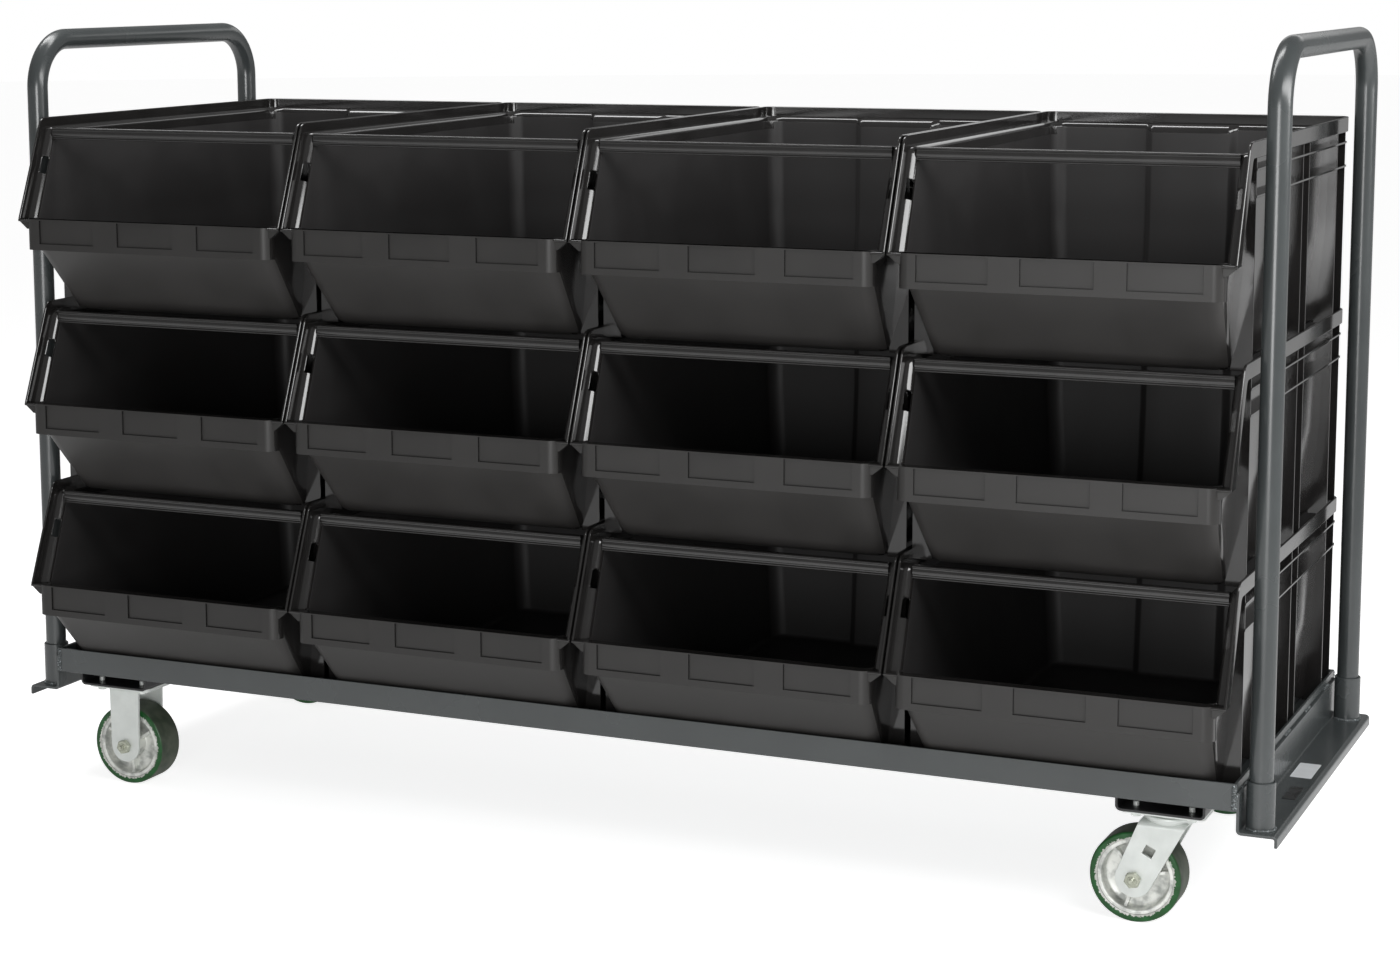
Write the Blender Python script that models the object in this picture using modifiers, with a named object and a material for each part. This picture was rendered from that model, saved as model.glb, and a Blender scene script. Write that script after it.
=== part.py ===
"""Tote cart: an angle-iron base on two rigid and two swivel casters, three rows of four
hopper-front totes stacked on its deck, and a tube handle that lifts out at each end.

Units are metres and +Z is up. The floor is z = 0 and the origin is on it, under the middle
of the cart. The open fronts of the totes face -Y and the swivel casters are at +X.
"""

import math

import bmesh
import bpy
from mathutils import Matrix, Vector

# Gap kept between pieces that touch on the real cart, and running gap of a turning fit
GAP = 0.0003
RUNNING_GAP = 0.0001

# Totes: rows count from the deck up, columns from -X to +X
COLUMNS = 4
ROWS = 3
COLUMN_GAP = 0.0033
TOTE_WIDTH = 0.4667
TOTE_DEPTH = 0.743
TOTE_HEIGHT = 0.3016
TOTE_WALL = 0.0030
TOTE_FLOOR = 0.0035
WALL_INSET = 0.014
WALL_DRAFT = 0.0028
BASE_DRAFT = 0.0125
BASE_DRAFT_HEIGHT = 0.135
WALL_CORNER = 0.025
RIM_WALL = 0.0035
RIM_HEIGHT = 0.0225
RIM_CORNER = 0.020
LEDGE_DROP = 0.0151

# Hopper front of a tote, measured back from its lip and up from its base
LIP_HEIGHT = 0.1496
LIP_THICK = 0.003
LIP_WALL_DEPTH = 0.012
MOUTH_SETBACK = 0.0636
MOUTH_EASE = 0.0005
PANEL_STEP = 0.002
PANEL_RAIL_GAP = 0.0025
FLANGE_THICK = 0.003
FLANGE_SKIRT = 0.020
LABEL_STAND_OUT = 0.004
LABEL_HEIGHT = 0.0471
LABEL_END_INSET = 0.023
LABEL_CORNER = 0.007

# Outside ribs of a tote
RIB_THICK = 0.003
RIB_BEHIND_TOE = 0.009
SIDE_RIB_INSET = 0.005
BACK_RIB_INSET = 0.012
BELT_RIB_INSET = 0.0015
BELT_RIB_DROP = 0.042
BELT_RIBS = 2
BELT_RIB_PITCH = 0.033
SIDE_RIBS = 3
SIDE_RIB_PITCH = 0.250
BACK_RIBS = 2
BACK_RIB_PITCH = 0.160

# Bar that snaps in across a tote's mouth
CROSSBAR_DEPTH = 0.012
CROSSBAR_RIDGE = 0.0028
CROSSBAR_CORE = 0.006
CROSSBAR_GROOVE_WIDTH = 0.0032
CROSSBAR_GROOVE_DEPTH = 0.0015
CROSSBAR_SEAT = 0.0015
CROSSBAR_BEHIND_FLANGE = 0.0144
CROSSBAR_UNDER_LEDGE = 0.0099

# Angle-iron frame and its sheet deck
FRAME_FRONT_SETBACK = 0.0673
FRAME_REAR_SETBACK = 0.0027
ANGLE_SIZE = 0.038
ANGLE_THICK = 0.0048
DECK_THICK = 0.0015
DECK_EDGE_GAP = 0.001

# Bent steps welded to the frame's two ends
STEP_THICK = 0.004
STEP_WIDTH = 0.055
STEP_UNDER_FRAME = 0.0269
STEP_LEG_DROP = 0.012
STEP_LIP_HEIGHT = 0.016
STEP_BEND = 0.0045

# Handles and the sockets that hold them
TUBE_DIAMETER = 0.03175
TUBE_WALL = 0.0017
HANDLE_EDGE_INSET = 0.0317
HANDLE_RISE = 1.0273
HANDLE_BEND = 0.076
SOCKET_WALL = 0.0028
SOCKET_SIDE_GAP = 0.0004

# Casters and the channels that they bolt to
CASTER_END_INSET = 0.102
PLATE_EDGE_INSET = 0.015
PLATE_LENGTH = 0.114
PLATE_WIDTH = 0.102
PLATE_THICK = 0.005
PLATE_CORNER = 0.010
CHANNEL_MARGIN = 0.004
CHANNEL_HEIGHT = 0.0177
CHANNEL_THICK = 0.0035
CHANNEL_BEND = 0.006
CHANNEL_END_GAP = 0.003
WHEEL_DIAMETER = 0.127
WHEEL_WIDTH = 0.0508
TREAD_THICK = 0.011
TREAD_ROUND = 0.003
RIM_SECTION = 0.006
RIM_SHOULDER = 0.0015
WEB_THICK = 0.014
HUB_DIAMETER = 0.040
HUB_STAND_OUT = 0.0036
HUB_SIDE_GAP = 0.001
AXLE_DIAMETER = 0.0127
AXLE_NUT_FLATS = 0.020
AXLE_NUT_THICK = 0.008
AXLE_STICK_OUT = 0.0015
FORK_LEG_WIDTH = 0.051
FORK_LEG_THICK = 0.005
FORK_CROWN_THICK = 0.006
FORK_HEADROOM = 0.0128
FORK_WINDOW = 0.012
SWIVEL_TRAIL = 0.041
RACE_DIAMETER = 0.066
RACE_HEIGHT = 0.007
RACE_LIP = 0.004
KINGPIN_DIAMETER = 0.0127
KINGPIN_NUT_FLATS = 0.022
KINGPIN_NUT_THICK = 0.006
RIGID_HEAD_LENGTH = 0.055

# Counts of the flats that stand for round forms
TREAD_STEPS = 24
CORE_STEPS = 16
SMALL_STEPS = 12
FORK_END_STEPS = 8
HANDLE_BEND_STEPS = 6
BEND_STEPS = 2
HEXAGON = 6

# How close to an axis a direction points to count as along it, and the shading's crease angle
ALONG = 0.9
CREASE = math.radians(40)

# Plan of the cart
COLUMN_PITCH = TOTE_WIDTH + COLUMN_GAP
TOTE_FRONT = -(TOTE_DEPTH - LABEL_STAND_OUT) / 2
FRAME_LENGTH = COLUMNS * COLUMN_PITCH
FRAME_DEPTH = TOTE_DEPTH - FRAME_FRONT_SETBACK - FRAME_REAR_SETBACK
FRAME_MIDDLE = TOTE_FRONT + FRAME_FRONT_SETBACK + FRAME_DEPTH / 2
CASTER_OFFSET = FRAME_LENGTH / 2 - CASTER_END_INSET
CASTER_SPACING = FRAME_DEPTH - 2 * PLATE_EDGE_INSET - PLATE_WIDTH
CHANNEL_WIDTH = PLATE_LENGTH + 2 * CHANNEL_MARGIN
SOCKET_DIAMETER = TUBE_DIAMETER + 2 * (SOCKET_SIDE_GAP + SOCKET_WALL)
HANDLE_SPACING = FRAME_DEPTH - 2 * HANDLE_EDGE_INSET
STEP_INSIDE = FRAME_LENGTH / 2 + GAP
STEP_BEND_INSIDE = STEP_BEND - STEP_THICK / 2
HANDLE_OFFSET = STEP_INSIDE + STEP_THICK + STEP_BEND_INSIDE + SOCKET_DIAMETER / 2
HUB_LENGTH = WHEEL_WIDTH + 2 * HUB_STAND_OUT
FORK_GAP = HUB_LENGTH + 2 * HUB_SIDE_GAP
FORK_WIDTH = FORK_GAP + 2 * FORK_LEG_THICK

# Heights of the cart, from the floor up
AXLE_HEIGHT = WHEEL_DIAMETER / 2
CROWN_BOTTOM = WHEEL_DIAMETER + FORK_HEADROOM
CROWN_TOP = CROWN_BOTTOM + FORK_CROWN_THICK
PLATE_BOTTOM = CROWN_TOP + GAP + 2 * RACE_HEIGHT
CASTER_HEIGHT = PLATE_BOTTOM + PLATE_THICK
CHANNEL_BOTTOM = CASTER_HEIGHT + GAP
FRAME_BOTTOM = CHANNEL_BOTTOM + CHANNEL_HEIGHT + GAP
FRAME_TOP = FRAME_BOTTOM + ANGLE_SIZE
DECK_BOTTOM = FRAME_BOTTOM + ANGLE_THICK + GAP
TOTE_BASE = DECK_BOTTOM + DECK_THICK + GAP
STACK_STEP = TOTE_HEIGHT - LEDGE_DROP + GAP
STEP_TOP_HEIGHT = FRAME_BOTTOM - STEP_UNDER_FRAME
HANDLE_BAR_HEIGHT = STEP_TOP_HEIGHT + HANDLE_RISE

# Side view of a tote: its front panel clears the top edge of the front rail
PANEL_TOP = LIP_HEIGHT - LABEL_HEIGHT
PANEL_TOP_SETBACK = LIP_WALL_DEPTH + PANEL_STEP
RAIL_TOP = FRAME_TOP - TOTE_BASE
RAIL_SETBACK = FRAME_FRONT_SETBACK + ANGLE_THICK + PANEL_RAIL_GAP
PANEL_LEAN = (RAIL_SETBACK - PANEL_TOP_SETBACK) / (PANEL_TOP - RAIL_TOP)
TOE_SETBACK = PANEL_TOP_SETBACK + PANEL_LEAN * PANEL_TOP
RIB_FRONT_SETBACK = TOE_SETBACK + RIB_BEHIND_TOE
CROSSBAR_SETBACK = MOUTH_SETBACK + CROSSBAR_BEHIND_FLANGE
CROSSBAR_RISE = 2 * (CROSSBAR_RIDGE + CROSSBAR_GROOVE_WIDTH) + CROSSBAR_CORE
CROSSBAR_HEIGHT = TOTE_HEIGHT - LEDGE_DROP - CROSSBAR_UNDER_LEDGE

ENDS = {"left": -1, "right": 1}
DEPTHS = {"front": -1, "rear": 1}

# Collections: the parts, and what only Booleans use
PARTS = "tote_cart"
CUTTERS = "cutters"


def clear_scene():
    for obj in list(bpy.data.objects):
        bpy.data.objects.remove(obj, do_unlink=True)
    for collection in list(bpy.data.collections):
        bpy.data.collections.remove(collection)


def make_material(name, colour, roughness, metallic):
    material = bpy.data.materials.new(name)
    material.use_nodes = True
    shader = material.node_tree.nodes["Principled BSDF"]
    shader.inputs["Base Color"].default_value = (*colour, 1.0)
    shader.inputs["Roughness"].default_value = roughness
    shader.inputs["Metallic"].default_value = metallic
    return material


def new_collection(name, parent=None):
    collection = bpy.data.collections.new(name)
    (parent or bpy.context.scene.collection).children.link(collection)
    return collection


def add_object(name, data, material=None, location=(0, 0, 0), collection=None):
    """Puts data in the scene as an object, among the parts unless a collection is given."""
    obj = bpy.data.objects.new(name, data)
    obj.location = location
    (collection or bpy.data.collections[PARTS]).objects.link(obj)
    if material:
        data.materials.append(material.copy())
        data.materials[0].name = f"{name}_finish"
    return obj


def mesh_from(bm, name):
    """Turns a bmesh into mesh data with its faces pointing out."""
    bmesh.ops.recalc_face_normals(bm, faces=bm.faces)
    mesh = bpy.data.meshes.new(name)
    bm.to_mesh(mesh)
    bm.free()
    return mesh


def helper(name, bm, collection):
    """An object that only a Boolean uses."""
    obj = add_object(name, mesh_from(bm, name), collection=collection)
    obj.hide_render = True
    obj.display_type = "WIRE"
    return obj


def boolean(obj, others, operation):
    modifier = obj.modifiers.new(operation.capitalize(), "BOOLEAN")
    modifier.operation = operation
    modifier.solver = "EXACT"
    modifier.operand_type = "COLLECTION"
    modifier.collection = others


def smooth_by_angle(mesh):
    mesh.shade_smooth()
    mesh.set_sharp_from_angle(angle=CREASE)


def finished(obj, name, material, location=(0, 0, 0)):
    """A node made from an object's mesh with its modifiers applied."""
    graph = bpy.context.evaluated_depsgraph_get()
    mesh = bpy.data.meshes.new_from_object(obj.evaluated_get(graph))
    mesh.name = name
    mesh.materials.clear()
    smooth_by_angle(mesh)
    add_object(name, mesh, material, location)


def pattern_of(name, base, additions, cutters):
    """A helper with every addition joined to its base and every cutter then taken away."""
    own = new_collection(f"{name}_helpers", bpy.data.collections[CUTTERS])
    pattern = helper(f"{name}_pattern", base, own)
    for shapes, operation in ((additions, "UNION"), (cutters, "DIFFERENCE")):
        if shapes:
            collection = new_collection(f"{name}_{operation.lower()}", own)
            for number, bm in enumerate(shapes):
                helper(f"{name}_{operation.lower()}_{number}", bm, collection)
            boolean(pattern, collection, operation)
    return pattern


def make_joined(name, base, additions, cutters, material, location):
    finished(pattern_of(name, base, additions, cutters), name, material, location)


def block(low, high):
    """A box between two corners."""
    bm = bmesh.new()
    size = Vector(high) - Vector(low)
    middle = (Vector(high) + Vector(low)) / 2
    matrix = Matrix.Translation(middle) @ Matrix.Diagonal((*size, 1.0))
    bmesh.ops.create_cube(bm, size=1.0, matrix=matrix)
    return bm


def laid_along(axis):
    """The turn that lays an upright shape along an axis."""
    if axis == "Z":
        return Matrix()
    return Matrix.Rotation(math.pi / 2, 4, "Y" if axis == "X" else "X")


def cylinder(diameter, length, steps, axis="Z", centre=(0, 0, 0), turn=0.0):
    bm = bmesh.new()
    matrix = Matrix.Translation(centre) @ laid_along(axis) @ Matrix.Rotation(turn, 4, "Z")
    radius = diameter / 2
    bmesh.ops.create_cone(
        bm, cap_ends=True, segments=steps, radius1=radius, radius2=radius, depth=length, matrix=matrix
    )
    return bm


def slice_off(bm, point, normal):
    """Cuts away what lies beyond a plane and closes the cut."""
    everything = bm.verts[:] + bm.edges[:] + bm.faces[:]
    cut = bmesh.ops.bisect_plane(bm, geom=everything, plane_co=point, plane_no=normal, clear_outer=True)
    outline = [item for item in cut["geom_cut"] if isinstance(item, bmesh.types.BMEdge)]
    bmesh.ops.contextual_create(bm, geom=outline)
    bm.normal_update()


def round_edges(bm, chosen, radius):
    """Rounds the edges that a test chooses."""
    bm.normal_update()
    edges = [edge for edge in bm.edges if chosen(edge)]
    bmesh.ops.bevel(bm, geom=edges, offset=radius, segments=BEND_STEPS, profile=0.5, affect="EDGES")


def is_upright(edge):
    return abs((edge.verts[0].co - edge.verts[1].co).normalized().z) > ALONG


def prism(outline, length, plane="XZ"):
    """A flat outline, in the XZ or YZ plane, drawn out to a length that is centred on the plane."""
    bm = bmesh.new()
    if plane == "XZ":
        corners = [Vector((a, -length / 2, b)) for a, b in outline]
        sweep = Vector((0, length, 0))
    else:
        corners = [Vector((-length / 2, a, b)) for a, b in outline]
        sweep = Vector((length, 0, 0))
    verts = [bm.verts.new(corner) for corner in corners]
    face = bm.faces.new(verts)
    drawn = bmesh.ops.extrude_face_region(bm, geom=[face])["geom"]
    moved = [item for item in drawn if isinstance(item, bmesh.types.BMVert)]
    bmesh.ops.translate(bm, vec=sweep, verts=moved)
    return bm


def arc(centre, radius, start, end, steps):
    """Points along an arc, angles in degrees, both ends included."""
    points = []
    for index in range(steps + 1):
        angle = math.radians(start + (end - start) * index / steps)
        points.append((centre[0] + radius * math.cos(angle), centre[1] + radius * math.sin(angle)))
    return points


def rounded_path(corners, radius, steps=BEND_STEPS):
    """An open path through the corners, each inner one rounded to the radius."""
    path = [Vector(corners[0])]
    for before, corner, after in zip(corners, corners[1:], corners[2:]):
        corner = Vector(corner)
        back = (Vector(before) - corner).normalized()
        ahead = (Vector(after) - corner).normalized()
        half = back.angle(ahead) / 2
        centre = corner + (back + ahead).normalized() * radius / math.sin(half)
        start = (corner + back * radius / math.tan(half) - centre).normalized()
        end = (corner + ahead * radius / math.tan(half) - centre).normalized()
        for index in range(steps + 1):
            path.append(centre + start.slerp(end, index / steps) * radius)
    path.append(Vector(corners[-1]))
    return path


def bent_sheet(name, corners, radius, thickness, length, material, location):
    """A sheet bent along a path of (x, z) points and drawn out along Y."""
    bm = bmesh.new()
    path = rounded_path([(x, 0, z) for x, z in corners], radius)
    verts = [bm.verts.new(point - Vector((0, length / 2, 0))) for point in path]
    edges = [bm.edges.new(pair) for pair in zip(verts, verts[1:])]
    drawn = bmesh.ops.extrude_edge_only(bm, edges=edges)["geom"]
    moved = [item for item in drawn if isinstance(item, bmesh.types.BMVert)]
    bmesh.ops.translate(bm, vec=(0, length, 0), verts=moved)
    mesh = mesh_from(bm, name)
    obj = add_object(name, mesh, material, location)
    solidify = obj.modifiers.new("Sheet", "SOLIDIFY")
    solidify.thickness = thickness
    solidify.offset = 0
    solidify.use_even_offset = True
    return obj


def flats_radius(radius, steps):
    """The corner radius of a many-sided bore whose flats clear a round piece of this radius."""
    return radius / math.cos(math.pi / steps)


def turned(name, profile, steps, material, location, along="Z"):
    """A closed profile of (radius, place along the axis) points, listed anticlockwise and turned
    all the way round."""
    bm = bmesh.new()
    verts = [bm.verts.new((radius, 0, place)) for radius, place in profile]
    for pair in zip(verts, verts[1:] + verts[:1]):
        bm.edges.new(pair)
    mesh = bpy.data.meshes.new(name)
    bm.to_mesh(mesh)
    bm.free()
    obj = add_object(name, mesh, material, location)
    if along == "Y":
        obj.rotation_euler.x = math.pi / 2
    screw = obj.modifiers.new("Turn", "SCREW")
    screw.steps = steps
    screw.render_steps = steps
    screw.use_normal_flip = True
    screw.use_merge_vertices = True
    screw.merge_threshold = 0.0001
    screw.use_smooth_shade = True
    return obj


def wall_inset(height):
    """How far the outside of a tote's wall stands in from its rim. It draws in more near its base."""
    if height > BASE_DRAFT_HEIGHT:
        return WALL_INSET + WALL_DRAFT * (TOTE_HEIGHT - height) / (TOTE_HEIGHT - BASE_DRAFT_HEIGHT)
    return WALL_INSET + WALL_DRAFT + BASE_DRAFT * (1 - height / BASE_DRAFT_HEIGHT)


def follow_wall(bm, inward):
    """Moves a block's sides and its back on to a tote's wall, or inward from its outside."""
    for vert in bm.verts:
        inset = wall_inset(vert.co.z) + inward
        vert.co.x = math.copysign(TOTE_WIDTH / 2 - inset, vert.co.x)
        if vert.co.y > TOE_SETBACK:
            vert.co.y = TOTE_DEPTH - inset


def tote_walls(inward):
    """The tote's body as a block, its faces moved inward by a wall thickness."""
    half = TOTE_WIDTH / 2
    front = LIP_WALL_DEPTH if inward else 0.0
    base = TOTE_FLOOR if inward else 0.0
    top = TOTE_HEIGHT if inward else TOTE_HEIGHT - LEDGE_DROP - GAP
    bm = block((-half, front, base), (half, TOTE_DEPTH, top))
    everything = bm.verts[:] + bm.edges[:] + bm.faces[:]
    bmesh.ops.bisect_plane(bm, geom=everything, plane_co=(0, 0, BASE_DRAFT_HEIGHT), plane_no=(0, 0, 1))
    follow_wall(bm, inward)
    facing = Vector((0, -1, -PANEL_LEAN)).normalized()
    slice_off(bm, Vector((0, TOE_SETBACK, 0)) - facing * inward, facing)
    if not inward:
        slice_off(bm, Vector((0, 0, LIP_HEIGHT)), mouth_facing())

    def is_corner(edge):
        normals = [face.normal for face in edge.link_faces]
        sides = [normal for normal in normals if abs(normal.x) > ALONG]
        ends = [normal for normal in normals if abs(normal.y) > abs(normal.z) and normal.z < 1 - ALONG]
        return len(sides) == 1 and len(ends) == 1

    round_edges(bm, is_corner, WALL_CORNER - inward)
    return bm


def mouth_facing():
    """The way that the slanted plane of the tote's mouth faces."""
    rise = TOTE_HEIGHT - LIP_HEIGHT
    return Vector((0, -rise, MOUTH_SETBACK)).normalized()


def rim_block(inset, low, high):
    """A block of the rim's outline, drawn in by an inset, rounded at the tote's back corners."""
    half = TOTE_WIDTH / 2 - inset
    back = TOTE_DEPTH - inset
    bm = block((-half, 0, low), (half, back, high))
    round_edges(bm, lambda edge: is_upright(edge) and edge.verts[0].co.y > 0, RIM_CORNER - inset)
    return bm


def mouth_strip(side, width, depth):
    """A strip that runs up one side of the mouth, in its slanted plane."""
    rise = TOTE_HEIGHT - LIP_HEIGHT
    slope = math.atan2(MOUTH_SETBACK, rise)
    outer = side * TOTE_WIDTH / 2
    inner = side * (TOTE_WIDTH / 2 - width)
    bm = block((min(outer, inner), 0, 0), (max(outer, inner), depth, math.hypot(rise, MOUTH_SETBACK)))
    place = Matrix.Translation((0, 0, LIP_HEIGHT)) @ Matrix.Rotation(-slope, 4, "X")
    bmesh.ops.transform(bm, matrix=place, verts=bm.verts)
    return bm


def tote_rims():
    """The stacking rim round the top and the belt ribs below it."""
    rim = rim_block(0, TOTE_HEIGHT - RIM_HEIGHT, TOTE_HEIGHT)
    slice_off(rim, Vector((0, 0, LIP_HEIGHT)), mouth_facing())
    rims = [rim]
    for number in range(BELT_RIBS):
        height = TOTE_HEIGHT - BELT_RIB_DROP - number * BELT_RIB_PITCH
        belt = rim_block(BELT_RIB_INSET, height - RIB_THICK / 2, height + RIB_THICK / 2)
        slice_off(belt, Vector((0, RIB_FRONT_SETBACK, 0)), Vector((0, -1, 0)))
        rims.append(belt)
    return rims


def tote_ribs():
    """The upright ribs, which stop inside the upper belt rib."""
    ribs = []
    top = TOTE_HEIGHT - BELT_RIB_DROP
    half = TOTE_WIDTH / 2 - SIDE_RIB_INSET
    for number in range(SIDE_RIBS):
        front = RIB_FRONT_SETBACK + RIB_THICK / 2 + number * SIDE_RIB_PITCH
        ribs.append(block((-half, front, 0), (half, front + RIB_THICK, top)))
    wall_inside = TOTE_DEPTH - wall_inset(0.0) - TOTE_WALL
    for number in range(BACK_RIBS):
        x = (number - (BACK_RIBS - 1) / 2) * BACK_RIB_PITCH
        low = (x - RIB_THICK / 2, wall_inside - RIB_THICK, 0)
        ribs.append(block(low, (x + RIB_THICK / 2, TOTE_DEPTH - BACK_RIB_INSET, top)))
    return ribs


def tote_front():
    """The flanges down both sides of the mouth, the lip across it and the label band."""
    pieces = []
    for side in ENDS.values():
        pieces.append(mouth_strip(side, wall_inset(LIP_HEIGHT) + 2 * TOTE_WALL, FLANGE_THICK))
        pieces.append(mouth_strip(side, RIM_WALL, FLANGE_SKIRT))
    half = TOTE_WIDTH / 2
    pieces.append(block((-half, 0, LIP_HEIGHT - LIP_THICK), (half, LIP_WALL_DEPTH, LIP_HEIGHT)))
    half = TOTE_WIDTH / 2 - LABEL_END_INSET
    band = block((-half, -LABEL_STAND_OUT, PANEL_TOP), (half, LIP_WALL_DEPTH, LIP_HEIGHT))
    round_edges(band, lambda edge: is_upright(edge) and edge.verts[0].co.y < 0, LABEL_CORNER)
    pieces.append(band)
    return pieces


def tote_cutters():
    """What is taken away: the inside, the rim's pocket, the mouth and the crossbar's two slots."""
    half = TOTE_WIDTH / 2
    above = TOTE_HEIGHT + RIM_HEIGHT
    inside = tote_walls(TOTE_WALL)
    pocket = rim_block(RIM_WALL, TOTE_HEIGHT - LEDGE_DROP, above)
    mouth = block((-half, -2 * LABEL_STAND_OUT, LIP_HEIGHT), (half, TOE_SETBACK, above))
    follow_wall(mouth, TOTE_WALL - MOUTH_EASE)
    slot_end = crossbar_half_length() + GAP
    slot_depth = CROSSBAR_DEPTH / 2 + GAP
    slot_rise = CROSSBAR_RISE / 2 + GAP
    bar_slots = block(
        (-slot_end, CROSSBAR_SETBACK - slot_depth, CROSSBAR_HEIGHT - slot_rise),
        (slot_end, CROSSBAR_SETBACK + slot_depth, CROSSBAR_HEIGHT + slot_rise),
    )
    return [inside, pocket, mouth, bar_slots]


def crossbar_half_length():
    """From the middle of the mouth to the bar's end, which sits in a wall's inner face."""
    return TOTE_WIDTH / 2 - wall_inset(CROSSBAR_HEIGHT) - TOTE_WALL + CROSSBAR_SEAT


def crossbar():
    """A bar with a ridge along its top and bottom and grooves between them and its core."""
    steps = [
        (CROSSBAR_DEPTH / 2, CROSSBAR_RISE / 2),
        (CROSSBAR_DEPTH / 2, CROSSBAR_RISE / 2 - CROSSBAR_RIDGE),
        (CROSSBAR_DEPTH / 2 - CROSSBAR_GROOVE_DEPTH, CROSSBAR_RISE / 2 - CROSSBAR_RIDGE),
        (CROSSBAR_DEPTH / 2 - CROSSBAR_GROOVE_DEPTH, CROSSBAR_CORE / 2),
        (CROSSBAR_DEPTH / 2, CROSSBAR_CORE / 2),
    ]
    back = steps + [(y, -z) for y, z in reversed(steps)]
    outline = back + [(-y, -z) for y, z in back]
    return prism(outline, 2 * crossbar_half_length(), "YZ")


def make_totes(material, bar_material):
    pattern = pattern_of("tote", tote_walls(0.0), tote_rims() + tote_ribs() + tote_front(), tote_cutters())
    for row in range(ROWS):
        for column in range(COLUMNS):
            x = (column - (COLUMNS - 1) / 2) * COLUMN_PITCH
            base = TOTE_BASE + row * STACK_STEP
            name = f"tote_row{row + 1}_col{column + 1}"
            finished(pattern, name, material, (x, TOTE_FRONT, base))
            bar = mesh_from(crossbar(), f"{name}_crossbar")
            place = (x, TOTE_FRONT + CROSSBAR_SETBACK, base + CROSSBAR_HEIGHT)
            add_object(f"{name}_crossbar", bar, bar_material, place)
            smooth_by_angle(bar)


def make_rail(name, length, turn, place, material):
    """One side of the angle-iron frame: legs up and inward, both ends cut to a mitre."""
    low = FRAME_BOTTOM
    outline = [
        (0, low),
        (ANGLE_SIZE, low),
        (ANGLE_SIZE, low + ANGLE_THICK),
        (ANGLE_THICK, low + ANGLE_THICK),
        (ANGLE_THICK, low + ANGLE_SIZE),
        (0, low + ANGLE_SIZE),
    ]
    bm = prism(outline, length, "YZ")
    for side in ENDS.values():
        corner = Vector((side * (length / 2 - GAP), 0, 0))
        slice_off(bm, corner, Vector((side, 1, 0)))
    bmesh.ops.transform(bm, matrix=Matrix.Translation(place) @ Matrix.Rotation(turn, 4, "Z"), verts=bm.verts)
    add_object(name, mesh_from(bm, name), material)


def make_frame(material, deck_material):
    middle = FRAME_MIDDLE
    half_length = FRAME_LENGTH / 2
    half_depth = FRAME_DEPTH / 2
    make_rail("front_rail", FRAME_LENGTH, 0, (0, middle - half_depth, 0), material)
    make_rail("rear_rail", FRAME_LENGTH, math.pi, (0, middle + half_depth, 0), material)
    make_rail("right_end_rail", FRAME_DEPTH, math.pi / 2, (half_length, middle, 0), material)
    make_rail("left_end_rail", FRAME_DEPTH, -math.pi / 2, (-half_length, middle, 0), material)
    x = half_length - ANGLE_THICK - DECK_EDGE_GAP
    y = half_depth - ANGLE_THICK - DECK_EDGE_GAP
    bm = block((-x, middle - y, DECK_BOTTOM), (x, middle + y, DECK_BOTTOM + DECK_THICK))
    add_object("deck_sheet", mesh_from(bm, "deck_sheet"), deck_material)


def make_ends(material):
    """The bent steps, the sockets on them and the handles in the sockets."""
    step_middle = STEP_TOP_HEIGHT - STEP_THICK / 2
    for end, side in ENDS.items():
        inner = side * (STEP_INSIDE + STEP_THICK / 2)
        outer = side * (FRAME_LENGTH / 2 + STEP_WIDTH - STEP_THICK / 2)
        corners = [
            (inner, FRAME_TOP - STEP_LEG_DROP),
            (inner, step_middle),
            (outer, step_middle),
            (outer, STEP_TOP_HEIGHT - STEP_LIP_HEIGHT),
        ]
        middle = (0, FRAME_MIDDLE, 0)
        bent_sheet(f"{end}_step", corners, STEP_BEND, STEP_THICK, FRAME_DEPTH, material, middle)
        foot = STEP_TOP_HEIGHT + GAP
        bore = flats_radius(TUBE_DIAMETER / 2 + SOCKET_SIDE_GAP, CORE_STEPS)
        outside = SOCKET_DIAMETER / 2
        profile = [(bore, foot), (outside, foot), (outside, FRAME_TOP), (bore, FRAME_TOP)]
        for depth, way in DEPTHS.items():
            place = (side * HANDLE_OFFSET, FRAME_MIDDLE + way * HANDLE_SPACING / 2, 0)
            turned(f"{end}_{depth}_socket", profile, CORE_STEPS, material, place)
        make_handle(f"{end}_handle", side * HANDLE_OFFSET, foot, material)


def make_handle(name, x, foot, material):
    """A tube bent to an upturned U, open at its two feet."""
    half = HANDLE_SPACING / 2
    corners = [(0, -half, foot), (0, -half, HANDLE_BAR_HEIGHT), (0, half, HANDLE_BAR_HEIGHT), (0, half, foot)]
    path = rounded_path(corners, HANDLE_BEND, HANDLE_BEND_STEPS)
    curve = bpy.data.curves.new(name, "CURVE")
    curve.dimensions = "3D"
    curve.bevel_depth = TUBE_DIAMETER / 2
    curve.bevel_resolution = 2
    curve.use_fill_caps = False
    spline = curve.splines.new("POLY")
    spline.points.add(len(path) - 1)
    for point, place in zip(spline.points, path):
        point.co = (*place, 1.0)
    handle = add_object(name, curve, material, (x, FRAME_MIDDLE, 0))
    solidify = handle.modifiers.new("Tube wall", "SOLIDIFY")
    solidify.thickness = TUBE_WALL
    solidify.offset = -1
    solidify.use_even_offset = True


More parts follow.
